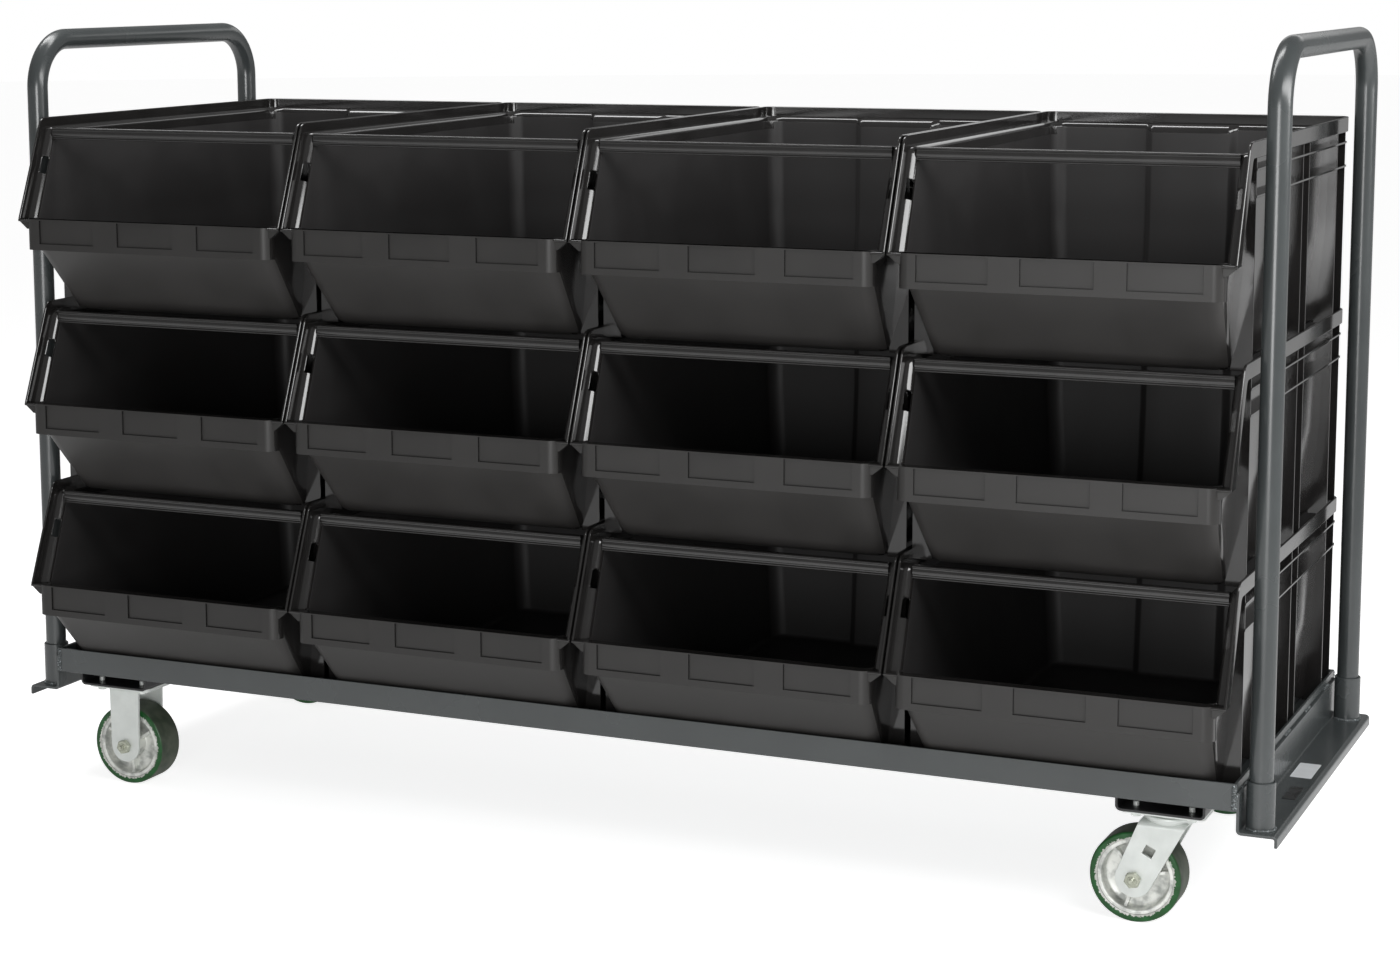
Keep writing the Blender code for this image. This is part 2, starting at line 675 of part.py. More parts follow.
def make_channels(material):
    """The channels that run front to back under the frame, one across each end."""
    half = (CHANNEL_WIDTH - CHANNEL_THICK) / 2
    low = CHANNEL_BOTTOM + CHANNEL_THICK / 2
    high = CHANNEL_BOTTOM + CHANNEL_HEIGHT
    corners = [(-half, high), (-half, low), (half, low), (half, high)]
    for end, side in ENDS.items():
        place = (side * CASTER_OFFSET, FRAME_MIDDLE, 0)
        length = FRAME_DEPTH - 2 * CHANNEL_END_GAP
        bent_sheet(f"{end}_caster_channel", corners, CHANNEL_BEND, CHANNEL_THICK, length, material, place)


def make_wheel(name, x, y, core_material, tread_material):
    """A cast core and the moulded tread round it."""
    radius = WHEEL_DIAMETER / 2
    half = WHEEL_WIDTH / 2
    seat = radius - TREAD_THICK
    tread_bore = flats_radius(seat + GAP, TREAD_STEPS)
    tread = [
        (tread_bore, -half),
        (radius - TREAD_ROUND, -half),
        (radius, -half + TREAD_ROUND),
        (radius, half - TREAD_ROUND),
        (radius - TREAD_ROUND, half),
        (tread_bore, half),
    ]
    turned(f"{name}_tread", tread, TREAD_STEPS, tread_material, (x, y, AXLE_HEIGHT), "Y")
    bore = flats_radius(AXLE_DIAMETER / 2 + RUNNING_GAP, CORE_STEPS)
    hub = HUB_DIAMETER / 2
    rim_inside = seat - RIM_SECTION
    rim_half = half - RIM_SHOULDER
    one_side = [
        (bore, -HUB_LENGTH / 2),
        (hub, -HUB_LENGTH / 2),
        (hub, -WEB_THICK / 2),
        (rim_inside, -WEB_THICK / 2),
        (rim_inside, -rim_half),
        (seat, -rim_half),
    ]
    other_side = [(r, -place) for r, place in reversed(one_side)]
    turned(f"{name}_wheel", one_side + other_side, CORE_STEPS, core_material, (x, y, AXLE_HEIGHT), "Y")


def hexagon(flats, thick, axis, centre):
    """A nut or bolt head, measured over its flats."""
    corners = 2 * flats_radius(flats / 2, HEXAGON)
    return cylinder(corners, thick, HEXAGON, axis, centre, turn=math.pi / HEXAGON)


def make_axle(name, x, y, material):
    """The wheel's axle bolt, with a head outside one fork leg and a nut outside the other."""
    reach = FORK_WIDTH / 2 + GAP + AXLE_NUT_THICK + AXLE_STICK_OUT
    nut_centre = FORK_WIDTH / 2 + GAP + AXLE_NUT_THICK / 2
    shank = cylinder(AXLE_DIAMETER, 2 * reach, SMALL_STEPS, "Y")
    nuts = []
    for way in DEPTHS.values():
        nuts.append(hexagon(AXLE_NUT_FLATS, AXLE_NUT_THICK, "Y", (0, way * nut_centre, 0)))
    make_joined(name, shank, nuts, [], material, (x, y, AXLE_HEIGHT))


def caster_plate():
    half_x = PLATE_LENGTH / 2
    half_y = PLATE_WIDTH / 2
    bm = block((-half_x, -half_y, PLATE_BOTTOM), (half_x, half_y, CASTER_HEIGHT))
    round_edges(bm, is_upright, PLATE_CORNER)
    return bm


def fork_outline(trail, head_half, head_height):
    """A fork leg from the side: a straight-sided head drawn down to a round end at the axle."""
    radius = FORK_LEG_WIDTH / 2
    centre = Vector((-trail, AXLE_HEIGHT))
    lean = math.degrees(math.atan2(trail, head_height - AXLE_HEIGHT))
    sides = arc(centre, radius, -lean, -180 - lean, FORK_END_STEPS)
    return [(head_half, head_height), *sides, (-head_half, head_height)]


def make_fork(name, trail, outline, slot_top, addition, cutters, material, location):
    """Two legs and the crown between them, cut from one block, with a piece joined on."""
    reach = PLATE_LENGTH
    slot = block((-reach, -FORK_GAP / 2, 0), (reach, FORK_GAP / 2, slot_top))
    hole = 2 * flats_radius(AXLE_DIAMETER / 2 + RUNNING_GAP, SMALL_STEPS)
    axle_hole = cylinder(hole, 2 * FORK_WIDTH, SMALL_STEPS, "Y", (-trail, 0, AXLE_HEIGHT))
    blank = prism(outline, FORK_WIDTH)
    make_joined(name, blank, [addition], [slot, axle_hole, *cutters], material, location)


def make_rigid_caster(name, x, y, zinc, core, tread):
    outline = fork_outline(0.0, RIGID_HEAD_LENGTH / 2, PLATE_BOTTOM + GAP)
    slot_top = PLATE_BOTTOM - FORK_CROWN_THICK / 2
    make_fork(f"{name}_fork", 0.0, outline, slot_top, caster_plate(), [], zinc, (x, y, 0))
    make_wheel(name, x, y, core, tread)
    make_axle(f"{name}_axle", x, y, zinc)


def kingpin_hole():
    hole = 2 * flats_radius(KINGPIN_DIAMETER / 2 + RUNNING_GAP, SMALL_STEPS)
    return cylinder(hole, 2 * CASTER_HEIGHT, SMALL_STEPS)


def make_swivel_plate(name, material, location):
    """The top plate with the fixed half of the ball race under it."""
    race_centre = (0, 0, PLATE_BOTTOM - RACE_HEIGHT / 2)
    race = cylinder(RACE_DIAMETER, RACE_HEIGHT + GAP, CORE_STEPS, centre=race_centre)
    make_joined(name, caster_plate(), [race], [kingpin_hole()], material, location)


def make_swivel_fork(name, material, location):
    """The leaning fork, with the turning half of the race on its crown and a window in each leg."""
    cup_top = CROWN_TOP + RACE_HEIGHT
    cup_height = cup_top - CROWN_BOTTOM
    cup_centre = (0, 0, CROWN_BOTTOM + cup_height / 2)
    cup = cylinder(RACE_DIAMETER + 2 * RACE_LIP, cup_height, CORE_STEPS, centre=cup_centre)
    half = FORK_WINDOW / 2
    window = block((-half, -FORK_WIDTH, -half), (half, FORK_WIDTH, half))
    lean = math.atan2(SWIVEL_TRAIL, CROWN_TOP - AXLE_HEIGHT)
    window_centre = Vector((-SWIVEL_TRAIL / 2, 0, (CROWN_TOP + AXLE_HEIGHT) / 2))
    turn = Matrix.Translation(window_centre) @ Matrix.Rotation(lean, 4, "Y")
    bmesh.ops.transform(window, matrix=turn, verts=window.verts)
    outline = fork_outline(SWIVEL_TRAIL, RACE_DIAMETER / 2, CROWN_TOP)
    cutters = [kingpin_hole(), window]
    make_fork(name, SWIVEL_TRAIL, outline, CROWN_BOTTOM, cup, cutters, material, location)


def make_kingpin(name, material, location):
    """The bolt that holds the swivel together, its nut under the crown."""
    nut_top = CROWN_BOTTOM - GAP
    nut_bottom = nut_top - KINGPIN_NUT_THICK
    length = CASTER_HEIGHT - nut_bottom
    shank = cylinder(KINGPIN_DIAMETER, length, SMALL_STEPS, centre=(0, 0, nut_bottom + length / 2))
    nut = hexagon(KINGPIN_NUT_FLATS, KINGPIN_NUT_THICK, "Z", (0, 0, nut_top - KINGPIN_NUT_THICK / 2))
    make_joined(name, shank, [nut], [], material, location)


def make_swivel_caster(name, x, y, zinc, core, tread):
    make_swivel_plate(f"{name}_plate", zinc, (x, y, 0))
    make_swivel_fork(f"{name}_fork", zinc, (x, y, 0))
    make_kingpin(f"{name}_kingpin", zinc, (x, y, 0))
    make_wheel(name, x - SWIVEL_TRAIL, y, core, tread)
    make_axle(f"{name}_axle", x - SWIVEL_TRAIL, y, zinc)


def main():
    clear_scene()
    new_collection(PARTS)
    new_collection(CUTTERS)
    plastic = make_material("black_plastic", (0.020, 0.020, 0.022), 0.35, 0.0)
    bar_plastic = make_material("crossbar_plastic", (0.030, 0.030, 0.032), 0.30, 0.0)
    paint = make_material("slate_powder_coat", (0.085, 0.095, 0.098), 0.45, 0.0)
    deck_paint = make_material("deck_powder_coat", (0.070, 0.078, 0.080), 0.55, 0.0)
    zinc = make_material("zinc_plate", (0.78, 0.80, 0.78), 0.40, 0.85)
    iron = make_material("cast_wheel", (0.62, 0.62, 0.60), 0.50, 0.80)
    tread = make_material("green_tread", (0.03, 0.22, 0.07), 0.45, 0.0)
    make_totes(plastic, bar_plastic)
    make_frame(paint, deck_paint)
    make_ends(paint)
    make_channels(paint)
    for depth, way in DEPTHS.items():
        y = FRAME_MIDDLE + way * CASTER_SPACING / 2
        make_rigid_caster(f"rigid_caster_{depth}", -CASTER_OFFSET, y, zinc, iron, tread)
        make_swivel_caster(f"swivel_caster_{depth}", CASTER_OFFSET, y, zinc, iron, tread)


main()
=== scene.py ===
"""Looks of the tote cart: its surfaces, small fasteners and welds, and the studio round it.

Units are metres in the CAD's frame, +Z up. A tote's own places are given across from its middle,
back from its lip and up from its base. A place in a section of its rim is given as an inset from
the tote's outline and a drop from the rim's top edge.
"""

import math
import random

import bmesh
import bpy
from mathutils import Matrix, Vector


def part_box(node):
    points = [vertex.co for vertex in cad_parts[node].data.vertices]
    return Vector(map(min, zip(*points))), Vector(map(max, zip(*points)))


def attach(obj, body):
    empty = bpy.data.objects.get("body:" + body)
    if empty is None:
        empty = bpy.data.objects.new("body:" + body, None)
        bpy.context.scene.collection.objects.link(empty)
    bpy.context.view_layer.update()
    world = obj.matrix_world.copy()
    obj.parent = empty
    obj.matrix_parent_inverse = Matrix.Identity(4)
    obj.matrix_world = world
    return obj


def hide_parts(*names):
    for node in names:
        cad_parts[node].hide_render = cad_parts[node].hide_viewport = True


# Tote walls, as in the solids
WALL = 0.003
WALL_INSET = 0.014
WALL_DRAFT = 0.0028
BASE_DRAFT = 0.0125
BASE_DRAFT_HEIGHT = 0.135
WALL_CORNER = 0.025
LABEL_STAND_OUT = 0.004
LIP_HEIGHT = 0.1496
LIP_THICK = 0.003
LIP_NOSE = 0.0022
FRONT_WALL_SETBACK = 0.012
MOUTH_SETBACK = 0.0636
PANEL_TOP = 0.1025
PANEL_TOP_SETBACK = 0.014
TOE_SETBACK = 0.1009
FLOOR_ROUND = 0.007
WALL_LEVELS = (0.030, 0.060, 0.085, 0.103, 0.108, 0.122, BASE_DRAFT_HEIGHT, LIP_HEIGHT)

# Rim and ledge of a tote, and the pad in the middle of its back
RIM_WALL = 0.0035
RIM_HEIGHT = 0.0225
RIM_CORNER = 0.020
RIM_ROUND = 0.0011
RIM_FRONT_ROUND = 0.017
RIM_FRONT_FADE = 0.45
LEDGE_DROP = 0.0151
LEDGE_ROUND = 0.0135
SIDE_LEDGE_ROUND = 0.0070
BACK_LEDGE_ROUND = 0.0085
PAD_HALF = 0.064
PAD_EASE = 0.014
PAD_FORWARD = 0.012
PAD_EXTRA_ROUND = 0.005
BACK_STATIONS = (-0.150, -0.110)
PAD_STATION = -0.030

# Label band, gussets, ribs and slots of a tote
LABEL_END_INSET = 0.0150
LABEL_CORNER = 0.016
RECESSES = 3
RECESS_WIDTH = 0.0990
RECESS_PITCH = 0.1420
RECESS_FOOT = 0.0095
RECESS_DEPTH = 0.0028
RECESS_GROOVE = 0.0010
GUSSET_HEIGHT = 0.014
BELT_INSET = 0.0015
BELT_DROPS = (0.038, 0.073)
RIB_INSET = 0.0025
RIB_ROOT = 0.008
RIB_THICK = 0.003
RIB_BEHIND_TOE = 0.009
SIDE_RIB_PLACES = (0.1115, 0.300, 0.412, 0.455, 0.660, 0.718)
BACK_RIB_INSET = 0.012
BACK_RIB_PLACES = (-0.080, 0.080)
SLOT_LENGTH = 0.030
SLOT_WIDTH = 0.0075
SLOT_SHARE_UP = 0.64
SHELL_EDGE = 0.0010
RIB_EDGE = 0.0004
BAND_EDGE = 0.0003

# Grained faces of a tote: how far a face may stand off its wall, and how far it turns to the front
GRAINED = ("grain", "inside", "band")
FACE_SLACK = 0.0003
FACING_FRONT = -0.4

# Crossbar: its ridges, the grooves between them and its core, and the step from one to the next
BAR_RIDGE = 0.0028
BAR_GROOVE = 0.0018
BAR_NOSE = 0.0014
BAR_BULGE = 0.0022
BAR_STEP = 0.0004

# Frame, steps, sockets and handles, with turns in degrees
ENDS = (("left", -1), ("right", 1))
RAIL_TURNS = {"front_rail": 0, "rear_rail": 180, "right_end_rail": 90, "left_end_rail": -90}
ANGLE_THICK = 0.0048
ANGLE_TOE = 0.0020
ANGLE_ROOT = 0.0040
ANGLE_HEEL = 0.0012
STEP_THICK = 0.004
STEP_BEND = 0.0045
STEP_EDGE = 0.0006
CHANNEL_THICK = 0.0035
CHANNEL_BEND = 0.006
CHANNEL_EDGE = 0.0005
SOCKET_WALL = 0.0028
SOCKET_EASE = 0.0007
HANDLE_BEND = 0.076
TUBE_WALL = 0.0017
TOUCH_GAP = 0.0003

# A weld bead: its ripples, as shares of its radius, and the steps of its tapered ends
BEAD_PITCH = 0.003
BEAD_STEPS = 4
BEAD_SIDES = 10
BEAD_LEAST = 0.80
BEAD_RIPPLE = 0.26
BEAD_CHANCE = 0.06
BEAD_TAPER = 3
BEAD_TIP = 0.45
UPRIGHT_FROM = 0.7

# Beads round a socket (with its turn in degrees), along a step, beside it, at the corner and on top
BEAD_LIFT = 0.0002
BEAD_SHORT = 0.001
BEAD_SINK = 0.0008
RING_BEAD = 0.0020
RING_TURN = 300
RING_STEPS = 28
RING_STAND_OFF = 0.0006
RING_LIFT = 0.0004
SEAM_BEAD = 0.0019
SEAM_BEADS = 5
SEAM_START = 0.03
SEAM_PITCH = 0.14
SEAM_LENGTH = 0.035
SIDE_BEAD = 0.0026
SIDE_BEAD_INSET = 0.0012
SIDE_BEAD_SEED = 7
CORNER_BEAD = 0.0034
CORNER_BEAD_INSET = 0.0028
CORNER_BEAD_FOOT = 0.0015
CORNER_BEAD_HEAD = 0.002
CORNER_BEAD_SEED = 21
TOP_BEAD = 0.0017
TOP_BEAD_ACROSS = 0.9392

# Casters: plates, races and forks. Edges of discs are (inset from the radius, rise over the level)
FORK_WIDTH = 0.070
FORK_LEG_WIDTH = 0.051
FORK_LEG_THICK = 0.005
FORK_BEND = 0.0055
FORK_WINDOW = 0.0145
FORK_EDGE = 0.0007
STRIP_HALF = 0.2
RIGID_HEAD_LENGTH = 0.055
SWIVEL_TRAIL = 0.041
RACE_DIAMETER = 0.066
RACE_HEIGHT = 0.007
RACE_EDGE = ((0.0012, 0), (0, 0.0010), (0, 0.0024), (0.0024, 0.0042), (0.0030, RACE_HEIGHT + 0.0004))
CUP_DIAMETER = 0.074
CUP_EDGE = (
    (0.0100, -0.0062), (0.0040, -0.0030), (0.0012, 0.0005), (0, 0.0040), (0, 0.0058), (0.0008, 0.0070),
)
PLATE_THICK = 0.005
PLATE_CORNER = 0.010

# Casters: the axle bolt, whose end is (radius, rise over the nut), and the plates' bolts. Turns are
# in radians
AXLE_DIAMETER = 0.0127
AXLE_SLACK = 0.0001
AXLE_NUT_FLATS = 0.020
AXLE_NUT_THICK = 0.008
AXLE_NUT_TURN = 0.3
AXLE_END = (
    (AXLE_DIAMETER / 2 - AXLE_SLACK, 0.0008), (AXLE_DIAMETER / 2 - 0.0010, 0.0015), (0.0042, 0.0015),
    (0.0040, 0.0032), (0.0024, 0.0038), (0.0022, 0.0050), (0.0030, 0.0058), (0.0026, 0.0070), (0, 0.0074),
)
HEAD_EASE = 0.125
HEAD_FACE = 0.96
BOLT_OFFSET = 0.038
BOLT_FLATS = 0.0127
BOLT_THICK = 0.0042
BOLT_STICK_OUT = 0.0064
BOLT_EASE = 0.0008
BOLT_TURN = 0.4
BOLT_NEXT_TURN = 0.7
WASHER_DIAMETER = 0.018
WASHER_THICK = 0.0013
WASHER_EASE = (0.0003, 0.0004)

# Casters: half profiles of the core and the tread, and one rib, as (radius, place along the axle).
# The ribs' turns are in degrees
HUB_HALF = 0.0290
BORE_EASE = (0.0006, 0.0005)
CORE_PROFILE = (
    (0.0180, HUB_HALF), (0.0192, 0.0282), (0.0198, 0.0265), (0.0206, 0.0105), (0.0216, 0.0082),
    (0.0240, 0.0072), (0.0330, 0.0068), (0.0410, 0.0074), (0.0442, 0.0090), (0.0458, 0.0118),
    (0.0468, 0.0225), (0.0476, 0.0236), (0.0490, 0.0239), (0.0525, 0.0239),
)
CORE_EDGE = 0.0006
WHEEL_RIB = ((0.0170, 0), (0.0170, 0.0225), (0.0240, 0.0180), (0.0400, 0.0165), (0.0475, 0.0200), (0.0475, 0))
WHEEL_RIBS = 3
WHEEL_RIB_THICK = 0.0045
RIB_TURNS = {"rigid": 33, "swivel": 12}
TREAD_PROFILE = (
    (0.0528, 0.0246), (0.0545, 0.0252), (0.0565, 0.0254), (0.0600, 0.0254),
    (0.0618, 0.0250), (0.0630, 0.0238), (0.0635, 0.0220), (0.0635, 0.0100),
)

# The bare label and the small plate on the right step: across, along and thick
LABEL_SIZE = (0.030, 0.076, 0.0003)
LABEL_MIDDLE = (0.967, 0.025)
TAG_SIZE = (0.0180, 0.062, 0.0006)
TAG_MIDDLE = (0.9730, -0.093)
LABEL_ROUND = 0.002

# Steps in round forms
TREAD_STEPS = 128
CORE_STEPS = 96
FINE = 48
MEDIUM = 24
HANDLE_BEND_STEPS = 20
ARC_STEPS = 6
FLANGE_STEPS = 6
SIDE_STEPS = 5
FAN_STEPS = 4
PAD_STEPS = 4
CORNER_STEPS = 4
FLOOR_STEPS = 3

# Faces over this area, in square metres, are shaded flat where they meet at over this angle
BROAD_FACE = 0.002
BROAD_BEND = 0.01

# Edges that are shown sharp and edges that are bevelled, from these angles in degrees
CREASE = 35
WELD_CREASE = 60
BEVEL_FROM = 30
MERGE_DISTANCE = 1e-7

# Finishes: name, two colours, roughness from and to, metallic, sizes of cloud and grain, and its depth
FINISHES = {
    "tote": (
        "tote_plastic", (0.0145, 0.0136, 0.0132), (0.0195, 0.0184, 0.018), (0.09, 0.15), 0.0, 9, 420, 0.04,
    ),
    "grain": (
        "grained_plastic", (0.027, 0.0256, 0.0246), (0.033, 0.0312, 0.03), (0.42, 0.52), 0.0, 9, 900, 0.3,
    ),
    # band: the grained plastic painted darker, as painted shade
    "band": ("band_plastic_painted_shade", (0.019, 0.018, 0.0172), (0.024, 0.0227, 0.0216), (0.42, 0.52), 0.0, 9, 900, 0.3),
    # inside: a touch lighter than the grained plastic, painted light that lifts the shade inside the tote
    "inside": (
        "inner_plastic_painted_light", (0.028, 0.0266, 0.0266), (0.033, 0.0315, 0.0315), (0.48, 0.58), 0.0, 9, 900, 0.3,
    ),
    "bar": (
        "bar_plastic", (0.017, 0.0162, 0.0158), (0.022, 0.0212, 0.0208), (0.08, 0.14), 0.0, 14, 500, 0.03,
    ),
    "steel": ("slate_coat", (0.044, 0.05, 0.051), (0.054, 0.061, 0.062), (0.22, 0.28), 0.0, 7, 620, 0.05),
    "deck": ("deck_coat", (0.05, 0.056, 0.058), (0.064, 0.071, 0.073), (0.45, 0.55), 0.0, 7, 500, 0.12),
    "channel": ("channel_coat", (0.012, 0.012, 0.013), (0.02, 0.02, 0.021), (0.3, 0.42), 0.0, 12, 500, 0.12),
    "zinc": ("zinc", (0.66, 0.69, 0.665), (0.74, 0.77, 0.745), (0.3, 0.42), 0.3, 34, 700, 0.1),
    "bolt": ("yellowed_zinc", (0.4, 0.42, 0.34), (0.56, 0.58, 0.48), (0.22, 0.36), 0.5, 60, 700, 0.12),
    "label": ("label_paper", (0.7, 0.72, 0.74), (0.78, 0.8, 0.82), (0.3, 0.4), 0.0, 30, 500, 0.05),
    "tag": ("tag_plate", (0.02, 0.02, 0.02), (0.032, 0.032, 0.032), (0.2, 0.32), 0.0, 60, 500, 0.1),
}
WELD_FINISH = ((0.070, 0.079, 0.080), (0.105, 0.115, 0.118), (0.20, 0.34), 0.0, 90, 300, 0.35)
GLOSS = {"tote": 0.85, "bar": 0.85, "steel": 0.75}
GRAIN_HEIGHT = 0.0002

# Colours of the wheels, low and high, and of the painted glints flecked over the welds
SCUFFED = ((0.040, 0.058, 0.036), (0.085, 0.100, 0.070))
GREEN = ((0.003, 0.058, 0.008), (0.006, 0.096, 0.016))
SILVER = ((0.42, 0.43, 0.40), (0.66, 0.66, 0.62))
CAST_METAL = ((0.40, 0.415, 0.395), (0.84, 0.85, 0.81))
RIM_PAINT = (0.005, 0.082, 0.013)
PAINTED_GLINT = (0.50, 0.55, 0.58)

# Distances from the axle, in millimetres, over which a wheel's looks change
RUNNING_FACE_FROM = (62.2, 63.2)
FLAKES_TO = (59.6, 59.8)
PAINT_FROM = (60.6, 60.8)

# Camera, from the photo: its place, turn, dip and roll, and its frame
IMAGE_WIDTH = 1400
SENSOR = 36.0
FOCAL_PIXELS = 2828.58
SHIFT = (0.0714, -0.0786)
CAMERA_PLACE = (1.71668, -3.92244, 1.29130)
CAMERA_YAW = 0.43864
CAMERA_DIP = 0.14181
CAMERA_ROLL = -0.00602
CAMERA_CLIP = (0.05, 200)

# Studio: the fill light, the floor, and the lamps by place, target, size, power and first side
WHITE = (1, 1, 1)
WORLD_FILL = 0.21
FLOOR_RADIUS = 30
FLOOR_SIDES = 96
FLOOR_COLOUR = (0.82, 0.82, 0.82)
FLOOR_ROUGHNESS = 0.6
FLOOR_GLOSS = 0.2
FLOOR_GLOW = 0.30
FLOOR_SEEN_GLOW = 0.50
LAMPS = {
    "front": ((1.1, -4.7, 0.82), (0.1, -0.3, 0.65), (1.7, 1.45), 66, (1, 0, 0)),
    "side": ((2.35, -0.84, 1.75), (0.2, -0.35, 0.65), (3.2, 0.62), 48, (1.16, 2.72, -1.1)),
    "overhead": ((-0.8, 0.15, 3.0), (-0.2, 0.1, 1.0), (2.8, 0.6), 46, (1, 0, 0)),
    "back": ((0.4, 4.4, 2.6), (0, 0, 0.8), (3.2, 0.8), 10, (1, 0, 0)),
}


def piece_from(name, bm, material, crease=CREASE):
    """An object made from a bmesh, smooth but for edges sharper than the crease."""
    bmesh.ops.recalc_face_normals(bm, faces=bm.faces)
    mesh = bpy.data.meshes.new(name)
    bm.to_mesh(mesh)
    bm.free()
    return object_from(name, mesh, material, crease)


def object_from(name, mesh, material, crease=CREASE):
    mesh.materials.clear()
    mesh.materials.append(material)
    mesh.shade_smooth()
    mesh.set_sharp_from_angle(angle=math.radians(crease))
    obj = bpy.data.objects.new(name, mesh)
    bpy.context.scene.collection.objects.link(obj)
    return obj


def applied(obj):
    """The object's mesh with its modifiers applied; the object goes."""
    graph = bpy.context.evaluated_depsgraph_get()
    mesh = bpy.data.meshes.new_from_object(obj.evaluated_get(graph))
    bpy.data.objects.remove(obj)
    return mesh


def even_shading(obj):
    """Shades broad flat faces flat, so that reflections in them stay straight, and small ones smooth."""
    bm = bmesh.new()
    bm.from_mesh(obj.data)
    for edge in bm.edges:
        if len(edge.link_faces) == 2 and min(face.calc_area() for face in edge.link_faces) > BROAD_FACE:
            if edge.calc_face_angle() > BROAD_BEND:
                edge.smooth = False
    bm.to_mesh(obj.data)
    bm.free()
    weigh = obj.modifiers.new("Shading", "WEIGHTED_NORMAL")
    weigh.keep_sharp = True
    graph = bpy.context.evaluated_depsgraph_get()
    obj.data = bpy.data.meshes.new_from_object(obj.evaluated_get(graph))
    obj.modifiers.clear()
    return obj


def bevelled(obj, width, segments=2):
    bevel = obj.modifiers.new("Edges", "BEVEL")
    bevel.width = width
    bevel.segments = segments
    bevel.limit_method = "ANGLE"
    bevel.angle_limit = math.radians(BEVEL_FROM)
    bevel.use_clamp_overlap = True
    return obj


def cut(obj, other, operation="DIFFERENCE"):
    """Applies a Boolean with another object, which goes, and gives the new mesh."""
    modifier = obj.modifiers.new("Cut", "BOOLEAN")
    modifier.operation = operation
    modifier.solver = "EXACT"
    modifier.object = other
    mesh = applied(obj)
    bpy.data.objects.remove(other)
    return mesh


def joined(bms):
    """One bmesh that holds several closed shapes."""
    whole = bmesh.new()
    for bm in bms:
        mesh = bpy.data.meshes.new("shape")
        bmesh.ops.recalc_face_normals(bm, faces=bm.faces)
        bm.to_mesh(mesh)
        bm.free()
        whole.from_mesh(mesh)
        bpy.data.meshes.remove(mesh)
    return whole


def moved(bm, matrix):
    bmesh.ops.transform(bm, matrix=matrix, verts=bm.verts)
    return bm


def block(low, high):
    bm = bmesh.new()
    size = Vector(high) - Vector(low)
    matrix = Matrix.Translation((Vector(high) + Vector(low)) / 2) @ Matrix.Diagonal((*size, 1.0))
    bmesh.ops.create_cube(bm, size=1.0, matrix=matrix)
    return bm


def bridged(bm, one, two, closed=False):
    """Adds the quads between two rows of vertices of one length."""
    for index in range(len(one) if closed else len(one) - 1):
        after = (index + 1) % len(one)
        bm.faces.new((one[index], one[after], two[after], two[index]))


def prism(outline, low, high, axis="Y"):
    """A flat outline drawn out between two places along an axis."""
    def corner(a, b, place):
        return {"X": (place, a, b), "Y": (a, place, b), "Z": (a, b, place)}[axis]

    bm = bmesh.new()
    first = [bm.verts.new(corner(a, b, low)) for a, b in outline]
    last = [bm.verts.new(corner(a, b, high)) for a, b in outline]
    bm.faces.new(first)
    bm.faces.new(last)
    bridged(bm, first, last, closed=True)
    return bm


def arc(centre, radius, start, turn, steps=ARC_STEPS):
    """Flat points round a centre, from one angle through a turn."""
    angles = [start + turn * step / steps for step in range(steps + 1)]
    return [(centre[0] + radius * math.cos(angle), centre[1] + radius * math.sin(angle)) for angle in angles]


def ring(middle, one, two, radius, steps):
    """Points of a circle in the plane of two directions."""
    angles = [2 * math.pi * step / steps for step in range(steps)]
    return [middle + radius * (math.cos(angle) * one + math.sin(angle) * two) for angle in angles]


def skin(rows, looped=False):
    """A closed shape through rows of points, each a closed ring, with caps unless the rows meet."""
    bm = bmesh.new()
    grid = [[bm.verts.new(point) for point in row] for row in rows]
    for one, two in zip(grid, grid[1:] + grid[:1] if looped else grid[1:]):
        bridged(bm, one, two, closed=True)
    if not looped:
        bm.faces.new(grid[0])
        bm.faces.new(grid[-1])
    return bm


def turned(profile, steps, axis="Z", centre=(0, 0, 0)):
    """A closed profile of (radius, place) points turned round an axis."""
    main, one, two = {
        "X": ((1, 0, 0), (0, 1, 0), (0, 0, 1)),
        "Y": ((0, 1, 0), (1, 0, 0), (0, 0, 1)),
        "Z": ((0, 0, 1), (1, 0, 0), (0, 1, 0)),
    }[axis]
    middles = [Vector(centre) + Vector(main) * place for _, place in profile]
    rows = [ring(at, Vector(one), Vector(two), radius, steps) for at, (radius, _) in zip(middles, profile)]
    bm = skin(rows, looped=True)
    bmesh.ops.remove_doubles(bm, verts=bm.verts, dist=MERGE_DISTANCE)
    return bm


def bent_path(corners, radius, steps=ARC_STEPS):
    """Points along straight lines whose corners are rounded."""
    corners = [Vector(corner).to_3d() for corner in corners]
    path = [corners[0]]
    for before, here, after in zip(corners, corners[1:], corners[2:]):
        back = (before - here).normalized()
        ahead = (after - here).normalized()
        half = back.angle(ahead) / 2
        centre = here + (back + ahead).normalized() * radius / math.sin(half)
        first = here + back * radius / math.tan(half) - centre
        spin = (-back).cross(ahead)
        for step in range(steps + 1):
            turn = Matrix.Rotation((math.pi - 2 * half) * step / steps, 3, spin)
            path.append(centre + turn @ first)
    path.append(corners[-1])
    return path


def ways_along(path):
    """The direction of a path at each of its points."""
    ways = [path[1] - path[0]]
    for before, here, after in zip(path, path[1:], path[2:]):
        ways.append((here - before).normalized() + (after - here).normalized())
    ways.append(path[-1] - path[-2])
    return [way.normalized() for way in ways]


def rounded(corners, steps=CORNER_STEPS):
    """A closed flat outline, each of whose corners (x, y, radius) is rounded."""
    outline = []
    for index, (x, y, radius) in enumerate(corners):
        here = Vector((x, y))
        before = Vector(corners[index - 1][:2])
        after = Vector(corners[(index + 1) % len(corners)][:2])
        back = (before - here).normalized()
        ahead = (after - here).normalized()
        points = bent_path([here + back, here, here + ahead], radius, steps)[1:-1]
        outline += [(point.x, point.y) for point in points]
    return outline


